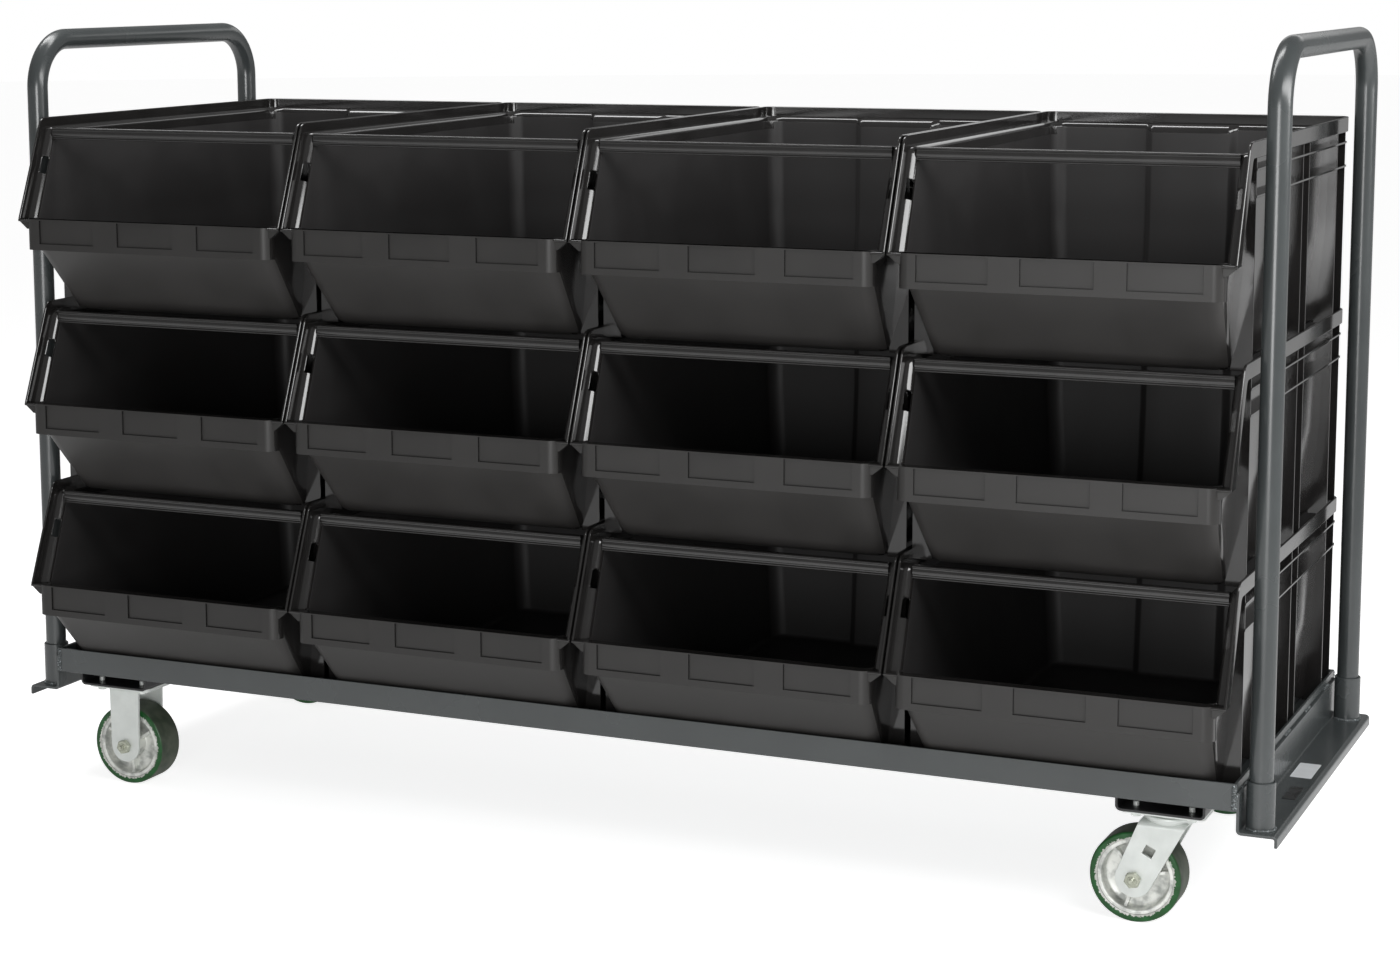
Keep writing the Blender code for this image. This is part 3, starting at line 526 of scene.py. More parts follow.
def rounded_plate(low, high, radius, steps=CORNER_STEPS):
    """A block whose upright edges are rounded."""
    corners = [(low[0], low[1]), (high[0], low[1]), (high[0], high[1]), (low[0], high[1])]
    return prism(rounded([(x, y, radius) for x, y in corners], steps), low[2], high[2], "Z")


def sheet_section(corners, radius, thick):
    """The section of a sheet bent along a flat path, which is its middle line."""
    path = bent_path(corners, radius)
    sides = [[], []]
    for point, way in zip(path, ways_along(path)):
        off = Vector((-way.y, way.x, 0)) * thick / 2
        sides[0].append((point.x + off.x, point.y + off.y))
        sides[1].append((point.x - off.x, point.y - off.y))
    return sides[0] + sides[1][::-1]


def smooth_share(value):
    value = min(max(value, 0.0), 1.0)
    return value * value * (3 - 2 * value)


# A tote's walls, and the rim's path round it in stations


def wall_inset(height):
    """How far the outside of a tote's wall stands in from its rim."""
    if height > BASE_DRAFT_HEIGHT:
        share = (TOTE_HEIGHT - height) / (TOTE_HEIGHT - BASE_DRAFT_HEIGHT)
        return WALL_INSET + WALL_DRAFT * share
    return WALL_INSET + WALL_DRAFT + BASE_DRAFT * (1 - height / BASE_DRAFT_HEIGHT)


def slant():
    """The angle between the mouth's plane and the upright."""
    return math.atan2(MOUTH_SETBACK, TOTE_HEIGHT - LIP_HEIGHT)


def front_setback(height):
    """How far the inside of the front panel stands back at a height."""
    lean = (TOE_SETBACK - PANEL_TOP_SETBACK) / PANEL_TOP
    across = WALL * math.hypot(1, lean)
    return max(FRONT_WALL_SETBACK, TOE_SETBACK + across - lean * height)


def pad_share(across):
    return smooth_share((PAD_HALF + PAD_EASE / 2 - abs(across)) / PAD_EASE)


def inner_inset(station, height):
    """The inset of a wall's inner face, with the pad of the back wall standing forward."""
    inset = wall_inset(height) + WALL
    if station[0] == "back":
        inset += PAD_FORWARD * pad_share(station[2])
    return inset


def rim_stations():
    """Places along the rim, from the left end of the lip round the back to the right end."""
    left = [("flange", -1, step / FLANGE_STEPS) for step in range(FLANGE_STEPS)]
    left += [("fan", -1, step / FAN_STEPS) for step in range(FAN_STEPS + 1)]
    left += [("side", -1, step / SIDE_STEPS) for step in range(1, SIDE_STEPS + 1)]
    left += [("corner", -1, step / ARC_STEPS) for step in range(1, ARC_STEPS + 1)]
    back = list(BACK_STATIONS)
    back += [-PAD_HALF - PAD_EASE / 2 + PAD_EASE * step / PAD_STEPS for step in range(PAD_STEPS + 1)]
    back += [PAD_STATION]
    back += [-place for place in reversed(back)]
    right = [(kind, 1, share) for kind, _, share in reversed(left)]
    return left + [("back", 0, place) for place in back] + right


def wall_point(station, inset, corner, front, height):
    """A place on a wall that runs back along the sides, round the back corners and along the back."""
    kind, side, share = station
    half = TOTE_WIDTH / 2 - inset
    far = TOTE_DEPTH - inset - corner
    if kind == "side":
        return Vector((side * half, front + (far - front) * share, height))
    if kind == "corner":
        angle = math.pi / 2 * share
        across = half - corner + corner * math.cos(angle)
        return Vector((side * across, far + corner * math.sin(angle), height))
    return Vector((share, TOTE_DEPTH - inset, height))


def rim_point(station, inset, drop, corner):
    """A place in the rim's section, carried to a station of its path."""
    kind, side, share = station
    across = side * (TOTE_WIDTH / 2 - inset)
    lean = slant()
    level = TOTE_HEIGHT - drop
    start = drop / math.cos(lean)
    turn_y = start + (level - LIP_HEIGHT) * math.tan(lean)
    rounding = RIM_FRONT_ROUND * (1 - RIM_FRONT_FADE * drop / (LEDGE_DROP + LEDGE_ROUND))
    reach = rounding * math.tan((math.pi / 2 - lean) / 2)
    if kind == "flange":
        end = (turn_y - reach * math.sin(lean), level - reach * math.cos(lean))
        y = start + (end[0] - start) * share
        return Vector((across, y, LIP_HEIGHT + (end[1] - LIP_HEIGHT) * share))
    if kind == "fan":
        angle = (math.pi / 2 - lean) * (1 - share)
        y = turn_y + reach - rounding * math.sin(angle)
        return Vector((across, y, level - rounding * (1 - math.cos(angle))))
    return wall_point(station, inset, corner, turn_y + reach, level)


def ledge_radius(station):
    kind, _, share = station
    if kind == "flange":
        return LEDGE_ROUND
    if kind == "fan":
        return LEDGE_ROUND + (SIDE_LEDGE_ROUND - LEDGE_ROUND) * share
    if kind == "side":
        return SIDE_LEDGE_ROUND
    if kind == "corner":
        return SIDE_LEDGE_ROUND + (BACK_LEDGE_ROUND - SIDE_LEDGE_ROUND) * share
    return BACK_LEDGE_ROUND + PAD_EXTRA_ROUND * pad_share(share)


def ledge_section(station):
    """From the top of the inner wall round the ledge's edge and under the rim, as (inset, drop, corner)."""
    radius = ledge_radius(station)
    drop = LEDGE_DROP + radius
    base = rim_point(station, WALL_INSET, drop, WALL_CORNER)
    inner = inner_inset(station, base.z)
    section = []
    for step in range(ARC_STEPS + 1):
        angle = math.pi / 2 * step / ARC_STEPS
        corner = WALL_CORNER - WALL + (RIM_CORNER - WALL_CORNER) * step / ARC_STEPS
        section.append((inner - radius * (1 - math.cos(angle)), drop - radius * math.sin(angle), corner))
    section.append((RIM_WALL / 2, LEDGE_DROP, RIM_CORNER - RIM_WALL / 2))
    return section


def wall_ring(height, more, stations):
    """One level of the inside of a tote, drawn in by some more. Below the lip it goes all round."""
    front_round = FRONT_ROUND - more / 2
    start = front_setback(height) + more + front_round
    if height > LIP_HEIGHT:
        start = (LEDGE_DROP + LEDGE_ROUND) / math.cos(slant()) + (height - LIP_HEIGHT) * math.tan(slant())
    corner = WALL_CORNER - WALL
    points = [wall_point(s, inner_inset(s, height) + more, corner, start, height) for s in stations]
    if height <= LIP_HEIGHT:
        half = TOTE_WIDTH / 2 - wall_inset(height) - WALL - more
        curve = arc((half - front_round, start), front_round, 0, -math.pi / 2)[1:]
        points += [Vector((across, y, height)) for across, y in curve]
        points += [Vector((-across, y, height)) for across, y in reversed(curve)]
    return points


# Totes


def tote_sheet():
    """The inside of a tote as one skin, from the floor over the ledge's edge to the rim."""
    bm = bmesh.new()
    stations = rim_stations()
    ring_stations = [("side", -1, 0.0)] + [s for s in stations if s[0] in ("side", "corner", "back")]
    ring_stations += [("side", 1, 0.0)]
    rows = []
    for step in range(FLOOR_STEPS + 1):
        angle = math.pi / 2 * step / FLOOR_STEPS
        height = WALL + FLOOR_ROUND * (1 - math.cos(angle))
        rows.append(wall_ring(height, FLOOR_ROUND * (1 - math.sin(angle)), ring_stations))
    for height in WALL_LEVELS:
        rows.append(wall_ring(height, 0.0, ring_stations))
    closed_rows = [[bm.verts.new(point) for point in row] for row in rows]
    bm.faces.new(closed_rows[0])
    for one, two in zip(closed_rows, closed_rows[1:]):
        bridged(bm, one, two, closed=True)

    ledge_rows = [[rim_point(s, *part) for part in ledge_section(s)] for s in stations]
    base = {}
    open_row = closed_rows[-1][: len(ring_stations)]
    for number, station in enumerate(stations):
        if station[1] != -1 or station[0] not in ("flange", "fan") or station[0] == "fan" and station[2] > 0:
            continue
        if number:
            level = wall_ring(ledge_rows[number][0].z, 0.0, ring_stations)
            new_row = [bm.verts.new(point) for point in level]
            bridged(bm, open_row, new_row)
            open_row = new_row
        base[station] = open_row[0]
        base[(station[0], 1, station[2])] = open_row[-1]
    for number, station in enumerate(stations):
        if station not in base:
            base[station] = bm.verts.new(ledge_rows[number][0])
    top_row = [base[s] for s in stations if s[0] in ("side", "corner", "back")]
    bridged(bm, open_row[1:-1], top_row)
    for side, row, top in ((-1, open_row, top_row), (1, open_row[::-1], top_row[::-1])):
        fan = [base[s] for s in stations if s[0] == "fan" and s[1] == side]
        bm.faces.new([row[1], top[0]] + (fan[::-1] if side == -1 else fan))

    before = None
    for station, points in zip(stations, ledge_rows):
        line = [base[station]] + [bm.verts.new(point) for point in points[1:]]
        if before:
            for index in range(len(line) - 1):
                bm.faces.new((before[index], line[index], line[index + 1], before[index + 1]))
        before = line
    return bm


def solid_sheet(bm, thickness):
    """Gives a skin its thickness, away from the side it is seen from."""
    bmesh.ops.recalc_face_normals(bm, faces=bm.faces)
    floor = min(bm.faces, key=lambda face: face.calc_center_median().z)
    if floor.normal.z < 0:
        bmesh.ops.reverse_faces(bm, faces=bm.faces)
    mesh = bpy.data.meshes.new("sheet")
    bm.to_mesh(mesh)
    bm.free()
    obj = bpy.data.objects.new("sheet", mesh)
    bpy.context.scene.collection.objects.link(obj)
    solidify = obj.modifiers.new("Wall", "SOLIDIFY")
    solidify.thickness = thickness
    solidify.offset = -1
    solidify.use_even_offset = True
    solidify.thickness_clamp = 1.0
    return applied(obj)


def tote_rim():
    """The upstand of the rim and its skirt, down both sides of the mouth as well."""
    low = RIM_HEIGHT
    section = [(0.0, low - RIM_ROUND), (0.0, RIM_ROUND), (RIM_ROUND / 3, RIM_ROUND / 3), (RIM_ROUND, 0.0)]
    section += [(RIM_WALL - inset, drop) for inset, drop in reversed(section)]
    section += [(RIM_WALL - RIM_ROUND, low), (RIM_ROUND, low)]
    rows = [[rim_point(s, i, d, RIM_CORNER - i) for i, d in section] for s in rim_stations()]
    return skin(rows)


def tote_belt(drop):
    """A rib that runs round the sides and back at one height."""
    height = TOTE_HEIGHT - drop
    inside = wall_inset(height) + WALL / 2
    low, high = height - RIB_THICK / 2, height + RIB_THICK / 2
    root, edge = WALL_CORNER - WALL / 2, RIM_CORNER - BELT_INSET
    section = [(inside, low, root), (inside, high, root), (BELT_INSET, high, edge), (BELT_INSET, low, edge)]
    left = [("side", -1, 0.0), ("side", -1, 1.0)]
    left += [("corner", -1, step / ARC_STEPS) for step in range(1, ARC_STEPS + 1)]
    stations = left + [(kind, 1, share) for kind, _, share in reversed(left)]
    front = TOE_SETBACK + RIB_BEHIND_TOE
    return skin([[wall_point(s, inset, corner, front, z) for inset, z, corner in section] for s in stations])


def tote_upright_ribs():
    ribs = []
    top = TOTE_HEIGHT - RIM_HEIGHT + RIM_ROUND
    levels = (0.0, BASE_DRAFT_HEIGHT, top)
    for middle in SIDE_RIB_PLACES:
        root = RIB_ROOT if middle == SIDE_RIB_PLACES[-1] else WALL / 2
        for side in (-1, 1):
            outside = [(side * (TOTE_WIDTH / 2 - RIB_INSET), z) for z in levels]
            inside = [(side * (TOTE_WIDTH / 2 - wall_inset(z) - root), z) for z in levels]
            ribs.append(prism(outside + inside[::-1], middle - RIB_THICK / 2, middle + RIB_THICK / 2))
    for x in BACK_RIB_PLACES:
        outside = [(TOTE_DEPTH - BACK_RIB_INSET, z) for z in levels]
        inside = [(TOTE_DEPTH - wall_inset(z) - WALL / 2, z) for z in levels]
        ribs.append(prism(outside + inside[::-1], x - RIB_THICK / 2, x + RIB_THICK / 2, "X"))
    return ribs


def label_band():
    """The band under the lip, with its recesses for labels open at the top."""
    half = TOTE_WIDTH / 2 - LABEL_END_INSET
    back = FRONT_WALL_SETBACK + WALL
    centre = Vector((LABEL_CORNER - half, LABEL_CORNER - LABEL_STAND_OUT))
    left = arc(centre, LABEL_CORNER, math.pi, math.pi / 2)
    outline = left + [(-x, y) for x, y in reversed(left)] + [(half, back), (-half, back)]
    band = piece_from("band", prism(outline, PANEL_TOP, LIP_HEIGHT, "Z"), plain)
    cutters, grooves = [], []
    for number in range(RECESSES):
        middle = (number - (RECESSES - 1) / 2) * RECESS_PITCH
        low = (middle - RECESS_WIDTH / 2, -2 * LABEL_STAND_OUT, PANEL_TOP + RECESS_FOOT)
        high = (middle + RECESS_WIDTH / 2, RECESS_DEPTH - LABEL_STAND_OUT, LIP_HEIGHT - LIP_THICK / 2)
        cutters.append(block(low, high))
        deep = high[1] + RECESS_GROOVE
        for x in (low[0], high[0] - RECESS_GROOVE):
            grooves.append(block((x, low[1], low[2]), (x + RECESS_GROOVE, deep, high[2])))
        across = (low[0] + 2 * RECESS_GROOVE, high[0] - 2 * RECESS_GROOVE)
        grooves.append(block((across[0], low[1], low[2]), (across[1], deep, low[2] + RECESS_GROOVE)))
    mesh = cut(band, piece_from("recesses", joined(cutters), plain))
    mesh = cut(object_from("band", mesh, plain), piece_from("grooves", joined(grooves), plain))
    return applied(bevelled(object_from("band", mesh, plain), BAND_EDGE))


def lip_plate():
    """The lip across the mouth, its front edge rounded, and the corners that take the flanges' feet."""
    half = TOTE_WIDTH / 2
    nose = arc((LIP_NOSE, LIP_HEIGHT - LIP_NOSE), LIP_NOSE, math.pi / 2, math.pi)
    back = FRONT_WALL_SETBACK + WALL / 2
    shapes = [prism(nose + [(back, LIP_HEIGHT - LIP_THICK), (back, LIP_HEIGHT)], -half, half, "X")]
    foot = RIM_HEIGHT / math.cos(slant())
    inner, outer = half - LABEL_END_INSET - LABEL_CORNER, half - RIM_WALL / 2
    under = LIP_HEIGHT - LIP_THICK / 2
    gusset = [(inner, under), (outer, under), (outer, under - LIP_THICK)]
    gusset += [(half - LABEL_END_INSET, under - GUSSET_HEIGHT), (inner, under - GUSSET_HEIGHT)]
    for side in (-1, 1):
        edges = sorted((side * half, side * (half - WALL_INSET - WALL)))
        shapes.append(block((edges[0], LIP_NOSE, LIP_HEIGHT - LIP_THICK), (edges[1], foot, LIP_HEIGHT)))
        shapes.append(prism([(side * x, z) for x, z in gusset], LIP_NOSE, FRONT_WALL_SETBACK))
    return joined(shapes)


def flange_slots():
    """Oblong slots through the rounded edge of both flanges."""
    end = arc((0, (SLOT_LENGTH - SLOT_WIDTH) / 2), SLOT_WIDTH / 2, 0, math.pi)
    outline = end + [(-x, -z) for x, z in end]
    off = LEDGE_ROUND * (1 - math.sqrt(0.5))
    shapes = []
    for side in (-1, 1):
        middle = rim_point(("flange", side, SLOT_SHARE_UP), WALL_INSET + WALL - off, LEDGE_DROP + off, 0)
        place = Matrix.Translation(middle) @ Matrix.Rotation(-slant(), 4, "X")
        place = place @ Matrix.Rotation(side * math.pi / 4, 4, "Z")
        shapes.append(moved(prism(outline, -WALL * 2, WALL * 2), place))
    return joined(shapes)


def tote_mesh():
    """A whole tote in one mesh, in its own places."""
    sheet = object_from("shell", solid_sheet(tote_sheet(), WALL), plain)
    shell = cut(sheet, piece_from("slots", flange_slots(), plain))
    shell = applied(bevelled(object_from("shell", shell, plain), SHELL_EDGE, 3))
    rest = [tote_rim(), lip_plate()] + [tote_belt(drop) for drop in BELT_DROPS] + tote_upright_ribs()
    fine = applied(bevelled(piece_from("ribs", joined(rest), plain), RIB_EDGE, 1))
    whole = bmesh.new()
    for mesh in (shell, fine, label_band()):
        whole.from_mesh(mesh)
        bpy.data.meshes.remove(mesh)
    mesh = bpy.data.meshes.new("tote")
    whole.to_mesh(mesh)
    whole.free()
    return mesh


def grain_faces(mesh):
    """Gives the front below the lip and the inside below the ledge their grained finishes: the band's with
    painted shade, the inside's with painted light.
    """
    for look in GRAINED:
        mesh.materials.append(looks[look])
    top = TOTE_HEIGHT - LEDGE_DROP - BACK_LEDGE_ROUND - PAD_EXTRA_ROUND
    for face in mesh.polygons:
        x, y, z = face.center
        inset = wall_inset(z) + WALL - FACE_SLACK
        inside = abs(x) < TOTE_WIDTH / 2 - inset and front_setback(z) - FACE_SLACK < y < TOTE_DEPTH - inset
        front = z < LIP_HEIGHT - LIP_NOSE and y < TOE_SETBACK + RIB_BEHIND_TOE
        if front and face.normal.y < FACING_FRONT:
            # The band's finish is painted shade, a darker copy of the grained plastic
            face.material_index = 1 + GRAINED.index("band" if z > PANEL_TOP else "grain")
        elif inside and WALL - FACE_SLACK < z < top:
            # The inside's finish carries painted light, a touch lighter than the grained plastic
            face.material_index = 1 + GRAINED.index("inside")


def crossbar_mesh(length, depth, rise):
    """A bar with rounded ridges along its top and bottom and a bulged core between two grooves."""
    neck = depth / 2 - BAR_GROOVE
    core = rise / 2 - BAR_RIDGE - BAR_BULGE
    upper = arc((depth / 2 - BAR_NOSE, rise / 2 - BAR_NOSE), BAR_NOSE, math.pi / 2, -math.pi)
    upper += [(neck, rise / 2 - BAR_RIDGE - BAR_STEP), (neck, core)]
    round_core = arc((0, 0), 1, math.pi / 3, -2 * math.pi / 3)
    bulge = [(neck - BAR_STEP + BAR_BULGE * y, core * z / math.sin(math.pi / 3)) for y, z in round_core]
    half = upper + bulge + [(y, -z) for y, z in reversed(upper)]
    outline = half + [(-y, -z) for y, z in half]
    return prism(outline, -length / 2, length / 2, "X")


def make_totes():
    shell = applied(even_shading(object_from("shell", tote_mesh(), looks["tote"])))
    grain_faces(shell)
    low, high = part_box("tote_row1_col1_crossbar")
    bar = applied(piece_from("crossbar", crossbar_mesh(*(high - low)), looks["bar"]))
    for node in sorted(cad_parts):
        if not node.startswith("tote_row"):
            continue
        low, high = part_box(node)
        middle = (low + high) / 2
        is_bar = node.endswith("_crossbar")
        piece = bpy.data.objects.new(f"{node}_piece", bar if is_bar else shell)
        bpy.context.scene.collection.objects.link(piece)
        piece.location = middle if is_bar else (middle.x, high.y - TOTE_DEPTH, low.z)
        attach(piece, node.removesuffix("_crossbar") + "_body")
        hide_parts(node)


# Steel pieces of the cart


def shown_as(piece, body, slot, *nodes):
    """Lets a piece ride on a body and stand for some nodes. The slot is not used."""
    even_shading(piece)
    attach(piece, body)
    if nodes:
        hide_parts(*nodes)
    return piece


def painted(name, bm, *nodes, look="steel", crease=CREASE):
    """A painted piece of the cart's frame, made from a bmesh."""
    return shown_as(piece_from(name, bm, looks[look], crease), "cart_frame", "slate_powder_coat", *nodes)


def make_rails():
    """The frame's angles, with rounded toes and root, mitred at their ends."""
    for name, turn in RAIL_TURNS.items():
        low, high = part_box(name)
        size = high - low
        leg = min(size.x, size.y)
        half = max(size.x, size.y) / 2
        corners = [(0, 0, ANGLE_HEEL), (leg, 0, ANGLE_HEEL / 2), (leg, ANGLE_THICK, ANGLE_TOE)]
        corners += [(ANGLE_THICK, ANGLE_THICK, ANGLE_ROOT), (ANGLE_THICK, size.z, ANGLE_TOE)]
        outline = rounded(corners + [(0, size.z, ANGLE_HEEL / 2)])
        rail = skin([[Vector((side * (half - inset), inset, z)) for inset, z in outline] for side in (-1, 1)])
        turning = Matrix.Rotation(math.radians(turn), 4, "Z")
        middle = (low + high) / 2
        place = Vector((middle.x, middle.y, low.z)) - turning @ Vector((0, leg / 2, 0))
        painted(f"{name}_piece", moved(rail, Matrix.Translation(place) @ turning), name)


def bent_sheet_piece(name, corners, radius, thick, edge, look):
    low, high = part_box(name)
    bm = prism(sheet_section(corners, radius, thick), low.y, high.y)
    mesh = applied(bevelled(piece_from(name, bm, looks[look]), edge))
    shown_as(object_from(f"{name}_piece", mesh, looks[look]), "cart_frame", "slate_powder_coat", name)


def make_steps_and_channels():
    for end, side in ENDS:
        name = f"{end}_step"
        low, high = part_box(name)
        inner = (high.x if side < 0 else low.x) + side * STEP_THICK / 2
        outer = (low.x if side < 0 else high.x) - side * STEP_THICK / 2
        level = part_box(f"{end}_front_socket")[0].z - TOUCH_GAP - STEP_THICK / 2
        corners = [(inner, high.z), (inner, level), (outer, level), (outer, low.z)]
        bent_sheet_piece(name, corners, STEP_BEND, STEP_THICK, STEP_EDGE, "steel")
        name = f"{end}_caster_channel"
        low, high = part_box(name)
        near, far = low.x + CHANNEL_THICK / 2, high.x - CHANNEL_THICK / 2
        base = low.z + CHANNEL_THICK / 2
        corners = [(near, high.z), (near, base), (far, base), (far, high.z)]
        bent_sheet_piece(name, corners, CHANNEL_BEND, CHANNEL_THICK, CHANNEL_EDGE, "channel")


def handle_mesh(low, high):
    """A tube bent to an upturned U, open at its two feet."""
    radius = (high.x - low.x) / 2
    x = (low.x + high.x) / 2
    front, rear, top = low.y + radius, high.y - radius, high.z - radius
    corners = [(x, front, low.z), (x, front, top), (x, rear, top), (x, rear, low.z)]
    path = bent_path(corners, HANDLE_BEND, HANDLE_BEND_STEPS)
    across = Vector((1, 0, 0))
    places = list(zip(path, ways_along(path)))
    walls = []
    for reach in (radius, radius - TUBE_WALL):
        walls.append([ring(point, across, way.cross(across), reach, FINE) for point, way in places])
    return skin(walls[0] + walls[1][::-1], looped=True)


def bead(path, radius, seed):
    """A weld bead along a path: a ripple at each pitch, with tapered ends."""
    chance = random.Random(seed)
    points = [Vector(path[0])]
    for start, end in zip(path, path[1:]):
        start, end = Vector(start), Vector(end)
        count = max(1, round((end - start).length / (BEAD_PITCH / BEAD_STEPS)))
        points += [start.lerp(end, step / count) for step in range(1, count + 1)]
    rows = []
    for index, (point, way) in enumerate(zip(points, ways_along(points))):
        upright = abs(way.z) > UPRIGHT_FROM
        side = way.cross(Vector((1, 0, 0)) if upright else Vector((0, 0, 1))).normalized()
        taper = min(index, len(points) - 1 - index) / BEAD_TAPER
        ripple = BEAD_RIPPLE * abs(math.sin(math.pi * index / BEAD_STEPS))
        swell = BEAD_LEAST + ripple + chance.uniform(-BEAD_CHANCE, BEAD_CHANCE)
        reach = radius * swell * min(1.0, BEAD_TIP + (1 - BEAD_TIP) * taper)
        rows.append(ring(point, side, side.cross(way), reach, BEAD_SIDES))
    return skin(rows)


def socket_shape(low, high):
    """A short tube with eased edges at its top."""
    middle = (low + high) / 2
    outside = (high.x - low.x) / 2
    bore = outside - SOCKET_WALL
    shoulder = high.z - SOCKET_EASE
    profile = [(bore, low.z), (outside, low.z), (outside, shoulder), (outside - SOCKET_EASE, high.z)]
    profile += [(bore + SOCKET_EASE, high.z), (bore, shoulder)]
    return turned(profile, FINE, "Z", (middle.x, middle.y, 0))


def socket_bead(low, high, side):
    """The bead round a socket's foot, open toward the frame."""
    middle = (low + high) / 2
    turn = side * math.radians(RING_TURN)
    start = -turn / 2 + (math.pi if side < 0 else 0)
    path = arc((middle.x, middle.y), (high.x - low.x) / 2 + RING_STAND_OFF, start, turn, RING_STEPS)
    return bead([(x, y, low.z + RING_LIFT) for x, y in path], RING_BEAD, RING_STEPS + side)


def end_welds(end, side):
    """The beads on the sockets, along and beside the step, and at the frame's corner."""
    step_low, step_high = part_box(f"{end}_step")
    rail_low, rail_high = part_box("front_rail")
    inner = step_high.x if side < 0 else step_low.x
    beads = [socket_bead(*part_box(f"{end}_{depth}_socket"), side) for depth in ("front", "rear")]
    z = step_high.z + BEAD_LIFT
    for number in range(SEAM_BEADS):
        y = step_low.y + SEAM_START + SEAM_PITCH * number
        beads.append(bead([(inner, y, z), (inner, y + SEAM_LENGTH, z)], SEAM_BEAD, number))
    x = inner - side * BEAD_LIFT
    for y in (step_low.y + SIDE_BEAD_INSET, step_high.y - SIDE_BEAD_INSET):
        path = [(x, y, rail_low.z + BEAD_SHORT), (x, y, step_high.z - BEAD_SHORT)]
        beads.append(bead(path, SIDE_BEAD, SIDE_BEAD_SEED))
    x = side * (rail_high.x - CORNER_BEAD_INSET)
    y = rail_low.y + BEAD_SINK
    path = [(x, y, rail_low.z + CORNER_BEAD_FOOT), (x, y, rail_high.z - CORNER_BEAD_HEAD)]
    beads.append(bead(path, CORNER_BEAD, CORNER_BEAD_SEED))
    x = side * TOP_BEAD_ACROSS
    for number, y in enumerate((rail_low.y + BEAD_SINK, step_high.y - BEAD_SINK)):
        beads.append(bead([(x, y, step_high.z), (x, y, rail_high.z - BEAD_SHORT)], TOP_BEAD, number))
    return joined(beads)


def make_ends():
    """Handles, their sockets and the welds round each end of the frame."""
    for end, side in ENDS:
        name = f"{end}_handle"
        tube = piece_from(f"{name}_piece", handle_mesh(*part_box(name)), looks["steel"])
        shown_as(tube, f"{name}_body", "slate_powder_coat", name)
        for depth in ("front", "rear"):
            name = f"{end}_{depth}_socket"
            painted(f"{name}_piece", socket_shape(*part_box(name)), name)
        painted(f"{end}_welds", end_welds(end, side), look="weld", crease=WELD_CREASE)


def make_labels():
    """The bare label and the small plate on the right step."""
    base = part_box("right_front_socket")[0].z - TOUCH_GAP
    for look, size, (x, y) in (("label", LABEL_SIZE, LABEL_MIDDLE), ("tag", TAG_SIZE, TAG_MIDDLE)):
        low = (x - size[0] / 2, y - size[1] / 2, base)
        high = (x + size[0] / 2, y + size[1] / 2, base + size[2])
        painted(f"blank_{look}", rounded_plate(low, high, LABEL_ROUND), look=look)


# Casters


def zinc_plated(name, bm, body, *nodes):
    """A zinc plated piece of a caster, made from a bmesh."""
    return shown_as(piece_from(name, bm, looks["zinc"]), body, "zinc_plate", *nodes)


def hexagon(flats, thick):
    """A nut or bolt head from the ground up, its corners turned down at both faces."""
    ease = thick * HEAD_EASE
    rows = []
    for place, turned_down in ((0.0, True), (ease, False), (thick - ease, False), (thick, True)):
        row = []
        for step in range(MEDIUM):
            angle = 2 * math.pi * step / MEDIUM
            reach = HEAD_FACE * flats / 2
            if not turned_down:
                reach = flats / 2 / math.cos((angle + math.pi / 6) % (math.pi / 3) - math.pi / 6)
            row.append(Vector((reach * math.cos(angle), reach * math.sin(angle), place)))
        rows.append(row)
    return skin(rows)


def leg_outline(trail, head_half, head_height, axle):
    """A fork leg from the side: straight sides drawn down to a round end at the axle."""
    lean = math.atan2(trail, head_height - axle)
    foot = arc((-trail, axle), FORK_LEG_WIDTH / 2, -lean, -math.pi, MEDIUM)
    return [(head_half, head_height)] + foot + [(-head_half, head_height)]


def fork_shape(trail, head_half, top, axle):
    """A fork bent from one strip and cut to its outline, with axle holes and, where it leans, windows."""
    half = (FORK_WIDTH - FORK_LEG_THICK) / 2
    level = top - FORK_LEG_THICK / 2
    section = sheet_section([(-half, 0), (-half, level), (half, level), (half, 0)], FORK_BEND, FORK_LEG_THICK)
    strip = piece_from("strip", prism(section, -STRIP_HALF, STRIP_HALF, "X"), plain)
    outline = prism(leg_outline(trail, head_half, top + FORK_LEG_THICK, axle), -FORK_WIDTH, FORK_WIDTH)
    fork = object_from("fork", cut(strip, piece_from("outline", outline, plain), "INTERSECT"), plain)
    bore = AXLE_DIAMETER / 2
    hole = [(0, -FORK_WIDTH), (bore, -FORK_WIDTH), (bore, FORK_WIDTH), (0, FORK_WIDTH)]
    cutters = [turned(hole, MEDIUM, "Y", (-trail, 0, axle))]
    if trail:
        side = FORK_WINDOW / 2
        window = block((-side, -FORK_WIDTH, -side), (side, FORK_WIDTH, side))
        middle = Matrix.Translation((-trail / 2, 0, (top + axle) / 2))
        cutters.append(moved(window, middle @ Matrix.Rotation(math.atan2(trail, top - axle), 4, "Y")))
    fork = object_from("fork", cut(fork, piece_from("holes", joined(cutters), plain)), plain)
    bm = bmesh.new()
    bm.from_mesh(applied(bevelled(fork, FORK_EDGE)))
    return bm


def axle_shape():
    """The axle bolt, with a nut and a grease nipple at both ends."""
    shapes = []
    reach = FORK_WIDTH / 2 + TOUCH_GAP
    inner = AXLE_SLACK - reach
    end = [(0, inner), (AXLE_END[0][0], inner)]
    end += [(radius, AXLE_NUT_THICK + rise) for radius, rise in AXLE_END]
    for side in (-1, 1):
        place = Matrix.Translation((0, side * reach, 0)) @ Matrix.Rotation(-side * math.pi / 2, 4, "X")
        nut = hexagon(AXLE_NUT_FLATS, AXLE_NUT_THICK)
        shapes.append(moved(nut, place @ Matrix.Rotation(side * AXLE_NUT_TURN, 4, "Z")))
        shapes.append(moved(turned(end, MEDIUM), place))
    return joined(shapes)


def both_halves(half):
    """A profile given for one half of a wheel, with its mirror image."""
    return half + [(radius, -place) for radius, place in reversed(half)]


